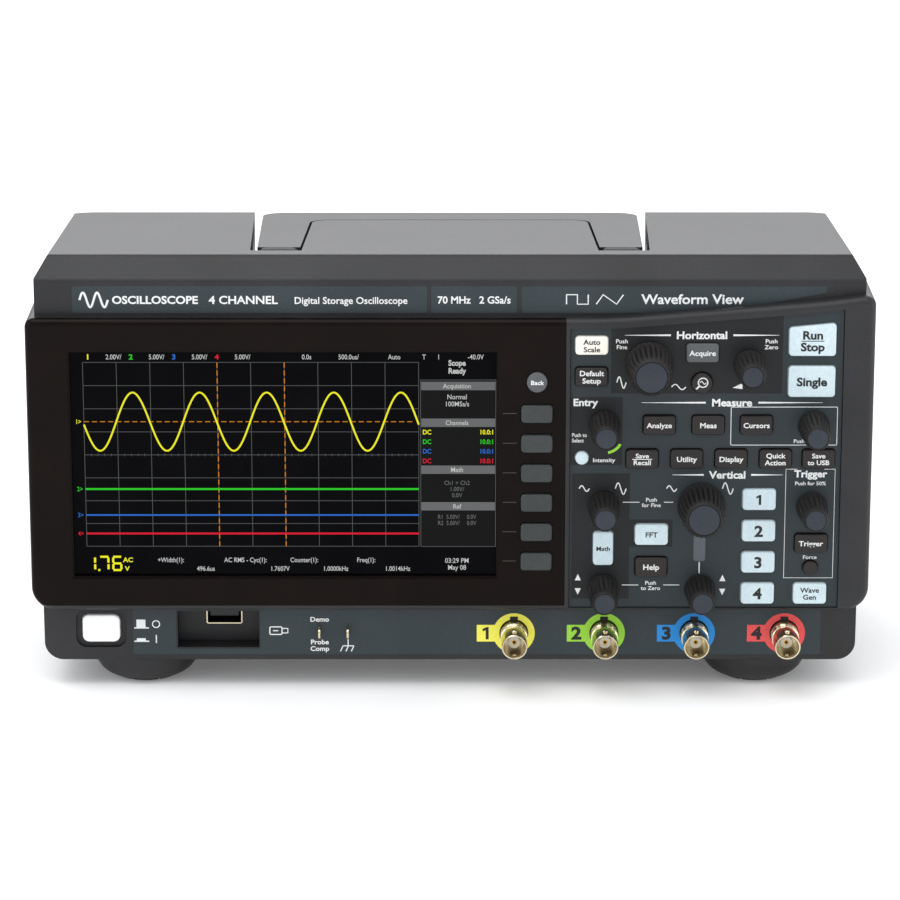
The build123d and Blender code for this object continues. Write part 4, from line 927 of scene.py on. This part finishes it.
slider = Print(OVERLAY_FACE)
slider.area(rounded(91.1, 95.5, 51.4, 64.0, 0.8))
slider.finish("vertical_group_bar", grey_ink, "root")

entry_low, entry_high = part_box("entry_knob")
entry_x = (entry_low.x + entry_high.x) / 2 / MM
entry_z = (entry_low.z + entry_high.z) / 2 / MM
sweep = Print(OVERLAY_FACE)
sweep.line(arc(entry_x, entry_z - 3.7, 6.9, -78, -30, 20), 1.0)
sweep.finish("entry_knob_arc", CHANNEL_INKS[1], "root")

BEZEL_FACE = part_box("display_bezel")[0].y / MM
leads = Print(BEZEL_FACE)
for number in range(1, 7):
    low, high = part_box(f"softkey_{number}")
    z = (low.z + high.z) / 2 / MM
    leads.line([(19.6, z), (low.x / MM - 0.8, z)], 0.25)
leads.finish("softkey_lines", bezel_line_ink, "root")
print("panel print:", len(CAPTIONS), "captions")


# %% [markdown]
# ## Key legends
# Every legend rides on its own key, so that it sinks with it. Lit keys have dark letters
# and dark keys white ones. A legend sits on the flat of the cap, whose place comes from
# the key's own box.

# %% key legends
LEGENDS = {  # key: words, capital height, ink
    "auto_scale_key": ("Auto\nScale", 1.75, black_ink),
    "default_setup_key": ("Default\nSetup", 1.75, white_ink),
    "acquire_key": ("Acquire", 1.75, white_ink),
    "run_stop_key": ("Run\nStop", 2.75, black_ink),
    "single_key": ("Single", 2.8, black_ink),
    "analyze_key": ("Analyze", 1.7, white_ink),
    "measure_key": ("Meas", 1.75, white_ink),
    "cursors_key": ("Cursors", 1.7, white_ink),
    "save_recall_key": ("Save\nRecall", 1.6, white_ink),
    "utility_key": ("Utility", 1.75, white_ink),
    "display_key": ("Display", 1.75, white_ink),
    "quick_action_key": ("Quick\nAction", 1.65, white_ink),
    "save_usb_key": ("Save\nto USB", 1.6, white_ink),
    "math_key": ("Math", 1.5, black_ink),
    "fft_key": ("FFT", 1.75, black_ink),
    "help_key": ("Help", 1.85, white_ink),
    "trigger_key": ("Trigger", 1.75, white_ink),
    "wave_gen_key": ("Wave\nGen", 1.7, black_ink),
    "back_key": ("Back", 1.45, white_ink),
    "channel_1_key": ("1", 3.7, black_ink),
    "channel_2_key": ("2", 3.7, black_ink),
    "channel_3_key": ("3", 3.7, black_ink),
    "channel_4_key": ("4", 3.7, black_ink),
}
DIVIDED = {"run_stop_key": 4.2, "save_recall_key": 3.7}  # half length of a line between
LETTER_SCALE = 1.08  # letters are this much taller than the stated height, unlike the one
BIG_LEGEND = 2.5


def cap_middle(node):
    low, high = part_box(node)
    # a key's box takes in the rim behind its hole, which is even all round
    return (low.x + high.x) / 2 / MM, (low.z + high.z) / 2 / MM, low.y / MM


for node, (words, cap, colour) in LEGENDS.items():
    x, z, face = cap_middle(node)
    if node == "run_stop_key":
        z -= 0.4
    legend = Print(face)
    if words == "1":
        legend.one(x, z, cap)
    else:
        bold = 0.05 if cap > BIG_LEGEND else 0.03
        legend.words(words, x, z, cap * LETTER_SCALE, bold)
    if node in DIVIDED:
        half = DIVIDED[node]
        legend.line([(x - half, z), (x + half, z)], 0.3)
    legend.finish(f"{node}_legend", colour, body_of[node])

x, z, face = cap_middle("zoom_key")
lens = Print(face)
lens.line(arc(x + 0.3, z + 0.3, 1.75, 0, 345, 23), 0.42, closed=True)
lens.line([(x - 0.95, z - 0.95), (x - 2.2, z - 2.2)], 0.6)
lens.line(sine(x + 0.3, z + 0.3, 2.2, 1.1), 0.32)
lens.finish("zoom_key_legend", white_ink, body_of["zoom_key"])
print("legends:", len(LEGENDS) + 1)


# %% [markdown]
# ## The display
# A liquid crystal display glows from behind, so its picture is drawn in thin plates that
# emit light, one mesh for each colour. The grid has ten divisions by eight. A sine wave
# runs over it, three quiet traces lie below, and a column at the right lists settings.

# %% display colours
def glow(name, shade, strength=1.0):
    """A display colour: dark glass that shines."""
    settings = {
        "Base Color": linear("#050505"), "Roughness": 0.3, "IOR": 1.5,
        "Specular IOR Level": 0.04,
        "Emission Color": linear(shade), "Emission Strength": strength,
    }
    material, tree, shader = new_material(name, settings)
    pitch = {"Vector": object_place(tree), "Scale": 1 / (0.9 * MM)}
    uneven = add_node(tree, "ShaderNodeTexNoise", pitch).outputs["Fac"]
    spread = {"Value": uneven, "To Min": 0.25, "To Max": 0.35}
    rough = add_node(tree, "ShaderNodeMapRange", spread).outputs["Result"]
    tree.links.new(rough, shader.inputs["Roughness"])
    return material


screen_white = glow("lcd_white", "#c9cccb", 0.9)
screen_grey = glow("lcd_grey", "#6a6c6c", 0.7)
screen_bar = glow("lcd_header", "#77797a", 0.75)
screen_panel = glow("lcd_column", "#1b1b1c", 0.6)
screen_orange = glow("lcd_orange", "#e08a1e", 0.9)
screen_channels = [
    glow("lcd_yellow", "#f2ee2a", 1.0), glow("lcd_green", "#2fd42a", 0.9),
    glow("lcd_blue", "#2e6fd0", 0.9), glow("lcd_red", "#e01e35", 0.9),
]
print("display colours:", 5 + len(screen_channels))


# %% display grid and traces
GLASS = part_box("display_module")[0].y / MM
GRID_LEFT, GRID_RIGHT, GRID_BOTTOM, GRID_TOP = -135.9, -11.6, 56.7, 127.7
ACROSS, UP = 10, 8
DIVISION_X = (GRID_RIGHT - GRID_LEFT) / ACROSS
DIVISION_Z = (GRID_TOP - GRID_BOTTOM) / UP
LAYER = 0.05  # each later layer of the picture lies this far in front
TOP_ROW = 129.8  # middle of the words above the grid
MIDDLE_ROW = 92.2

grid = Print(GLASS)
for n in range(ACROSS + 1):
    x = GRID_LEFT + n * DIVISION_X
    grid.line([(x, GRID_BOTTOM), (x, GRID_TOP)], 0.2)
for n in range(UP + 1):
    z = GRID_BOTTOM + n * DIVISION_Z
    grid.line([(GRID_LEFT, z), (GRID_RIGHT, z)], 0.2)
for n in range(ACROSS * 5 + 1):
    x = GRID_LEFT + n * DIVISION_X / 5
    grid.line([(x, MIDDLE_ROW - 0.5), (x, MIDDLE_ROW + 0.5)], 0.18)
grid.finish("display_grid", screen_grey, "root")

SINE_MIDDLE, SINE_HALF, SINE_CYCLES = 105.0, 11.2, 5
trace = Print(GLASS - LAYER)
middle_x = (GRID_LEFT + GRID_RIGHT) / 2
trace.line(
    sine(middle_x, SINE_MIDDLE, GRID_RIGHT - GRID_LEFT, 2 * SINE_HALF, SINE_CYCLES, 240, 0.516),
    0.65,
)
SEVEN = {"1": "bc", "7": "abc", "6": "acdefg"}  # segments that are lit, clockwise from the top
SEGMENTS = {
    "a": ((0, 2), (1, 2)), "b": ((1, 2), (1, 1)), "c": ((1, 1), (1, 0)), "d": ((0, 0), (1, 0)),
    "e": ((0, 0), (0, 1)), "f": ((0, 1), (0, 2)), "g": ((0, 1), (1, 1)),
}
DIGIT_WIDE, DIGIT_HIGH, DIGIT_LOW = 3.0, 2.6, 47.4
SEGMENT_GAP = 0.12  # share of its length that an upright segment is short at each end
for start, digit in ((-136.0, "1"), (-131.0, "7"), (-126.2, "6")):
    for name in SEVEN[digit]:
        (x0, z0), (x1, z1) = SEGMENTS[name]
        if name in "bcef":
            gap = SEGMENT_GAP if z0 < z1 else -SEGMENT_GAP
            z0, z1 = z0 + gap, z1 - gap
        ends = ((x0, z0), (x1, z1))
        trace.line([(start + x * DIGIT_WIDE, DIGIT_LOW + z * DIGIT_HIGH) for x, z in ends], 0.8)
trace.area(rounded(-131.9, -131.1, 47.0, 47.8, 0.2))
trace.words("AC", -120.6, 51.4, 1.7, 0.03)
trace.words("V", -121.0, 48.0, 1.7, 0.03)
trace.words("1", -133.9, TOP_ROW, 1.9, 0.04)
trace.words("DC", -10.2, 101.0, 1.7, 0.03, align="LEFT", wide=0.9)
trace.words("10.0:1", 16.4, 101.0, 1.7, 0.03, align="RIGHT", wide=0.9)
trace.words("1>", -136.9, 105.0, 1.7, 0.01, align="RIGHT", wide=0.8)
trace.finish("display_yellow", screen_channels[0], "root")

FLAT = ((1, 79.0, 0.75, "2"), (2, 68.9, 0.6, "3"), (3, 61.7, 0.75, "4"))
for channel, z, width, digit in FLAT:
    flat = Print(GLASS - LAYER)
    flat.line([(GRID_LEFT, z), (GRID_RIGHT, z)], width)
    flat.words(digit + ">", -136.9, z, 1.7, 0.01, align="RIGHT", wide=0.8)
    flat.words(digit, -133.9 + channel * 15.9, TOP_ROW, 1.9, 0.04)
    row = 101.0 - channel * 3.7
    flat.words("DC", -10.2, row, 1.7, 0.03, align="LEFT", wide=0.9)
    flat.words("10.0:1", 16.4, row, 1.7, 0.03, align="RIGHT", wide=0.9)
    flat.finish(f"display_trace_{digit}", screen_channels[channel], "root")

cursors = Print(GLASS - 0.5 * LAYER)
DASH, SPACE = 1.9, 1.1
for n in (4, 6):
    x, z = GRID_LEFT + n * DIVISION_X, GRID_BOTTOM
    while z < GRID_TOP - DASH:
        cursors.line([(x, z), (x, z + DASH)], 0.34)
        z += DASH + SPACE
x = GRID_LEFT
while x < GRID_RIGHT - DASH:
    cursors.line([(x, SINE_MIDDLE), (x + DASH, SINE_MIDDLE)], 0.3)
    x += DASH + SPACE
cursors.finish("display_cursors", screen_orange, "root")
print(f"grid of {ACROSS} by {UP}, {SINE_CYCLES} cycles")


# %% display readouts
COLUMN = (-10.9, 17.0)
column = Print(GLASS)
column.area(rounded(COLUMN[0], COLUMN[1], 56.5, 121.0, 0.2))
column.finish("display_column", screen_panel, "root")

bars = Print(GLASS - LAYER)
HEADERS = (("Acquisition", 118.7), ("Channels", 104.6), ("Math", 86.5), ("Ref", 72.3))
for words, z in HEADERS:
    bars.area(rounded(COLUMN[0] + 0.2, COLUMN[1] - 0.2, z - 1.6, z + 1.6, 0.1))
bars.words("Ch1 + Ch2\n1.00V/\n0.0V", 2.6, 79.0, 1.6, 0.0, wide=0.9)
bars.words("R1  5.00V/     0.0V\nR2  5.00V/     0.0V", 2.6, 67.0, 1.6, 0.0, wide=0.82)
bars.line(
    [(COLUMN[0], 56.6), (COLUMN[1], 56.6), (COLUMN[1], 121.0), (COLUMN[0], 121.0)], 0.2, closed=True
)
bars.finish("display_header_bars", screen_bar, "root")

readout = Print(GLASS - 2 * LAYER)
for words, z in HEADERS:
    readout.words(words, 2.6, z, 1.75, 0.01, wide=0.9)
readout.words("Normal\n100MSa/s", 2.6, 113.2, 1.8, 0.01, wide=0.9)
readout.words("Scope\nReady", 2.6, 126.0, 2.0, 0.05, wide=0.9)
for x, words in zip((-124.6, -108.7, -92.8, -76.9), ("2.00V/", "5.00V/", "5.00V/", "5.00V/")):
    readout.words(words, x + 0.2, TOP_ROW, 1.8, 0.01, wide=0.85)
TOP_READOUTS = (
    (-53.0, "0.0s"), (-37.5, "500.0us/"), (-20.6, "Auto"), (-9.6, "T"), (-4.2, "1"),
    (9.5, "-40.0V"),
)
for x, words in TOP_READOUTS:
    readout.words(words, x, TOP_ROW, 1.8, 0.01, wide=0.85)
MEASURES = (
    (-104.6, "+Width(1):", "496.6us"), (-76.6, "AC RMS - Cyc(1):", "1.7607V"),
    (-54.6, "Counter(1):", "1.0000kHz"), (-31.4, "Freq(1):", "1.0014kHz"),
)
for x, words, value in MEASURES:
    readout.words(words, x, 51.4, 1.75, 0.01, wide=0.85)
    readout.words(value, x + 16.5, 48.0, 1.75, 0.01, align="RIGHT", wide=0.85)
readout.words("03:29 PM\nMay 08", 2.6, 49.8, 1.8, 0.01, wide=0.9)
readout.finish("display_readouts", screen_white, "root")
print("readouts:", len(HEADERS) + len(MEASURES))


# %% [markdown]
# ## Floor, light and camera
# A white table under a large soft light shows the shapes without hard shadows. The world
# is pale, so that the grained plastic has something to reflect. A light from behind puts a
# sheen on the top, and one at each side lifts the ends. The table shines faintly, so that
# only the contact shadows darken it. The camera looks down from the front.

# %% floor, light and camera
scene = bpy.context.scene
scene.view_settings.view_transform = "Standard"

table = textured(
    "white_table", "#f9f9f9", "#ffffff", 0.6, 30.0, 0.0,
    {"IOR": 1.45, "Specular IOR Level": 0.1, "Emission Color": linear("#ffffff"),
     "Emission Strength": 0.1},
)
bm = bmesh.new()
bmesh.ops.create_grid(bm, x_segments=1, y_segments=1, size=8.0)
floor_mesh = bpy.data.meshes.new("floor")
bm.to_mesh(floor_mesh)
bm.free()
floor_mesh.materials.append(table)
floor = bpy.data.objects.new("floor", floor_mesh)
scene.collection.objects.link(floor)

world = bpy.data.worlds.new("studio")
scene.world = world
world.use_nodes = True
world.node_tree.nodes["Background"].inputs["Color"].default_value = linear("#f6f8fb")
world.node_tree.nodes["Background"].inputs["Strength"].default_value = 0.9


def softbox(name, place, target, size, power):
    data = bpy.data.lights.new(name, "AREA")
    data.shape = "RECTANGLE"
    data.size, data.size_y = size
    data.energy = power
    lamp = bpy.data.objects.new(name, data)
    scene.collection.objects.link(lamp)
    lamp.location = place
    direction = lamp.location - type(lamp.location)(target)
    lamp.rotation_euler = direction.to_track_quat("Z", "Y").to_euler()
    return lamp


# place and target in m, width and height in m, and watts
SOFTBOXES = {
    "overhead_softbox": ((-0.25, -0.35, 1.2), (0, 0, 0.08), (1.2, 0.8), 7.0),
    "back_softbox": ((0.0, 1.3, 0.75), (0, 0, 0.12), (1.8, 0.5), 9.5),
    "left_softbox": ((-1.1, -0.7, 0.5), (0, 0, 0.08), (0.5, 0.9), 2.5),
    "right_softbox": ((1.1, -0.4, 0.4), (0.1, 0, 0.08), (0.4, 0.9), 3.0),
}
for name, settings in SOFTBOXES.items():
    softbox(name, *settings)

camera_data = bpy.data.cameras.new("camera")
camera = bpy.data.objects.new("camera", camera_data)
scene.collection.objects.link(camera)
scene.camera = camera
PITCH, DISTANCE, AIM_Z = 15.5, 1.5, 0.0945
SENSOR, LENS = 36, 161.5  # mm
drop = math.radians(PITCH)
camera.location = (
    0, OVERLAY_FACE * MM - DISTANCE * math.cos(drop), AIM_Z + DISTANCE * math.sin(drop)
)
camera.rotation_euler = (math.radians(90) - drop, 0, 0)
camera_data.sensor_width, camera_data.lens = SENSOR, LENS
camera_data.clip_end = 50
print("camera at", [round(v, 3) for v in camera.location])


# %% finish: update the scene
bpy.context.view_layer.update()
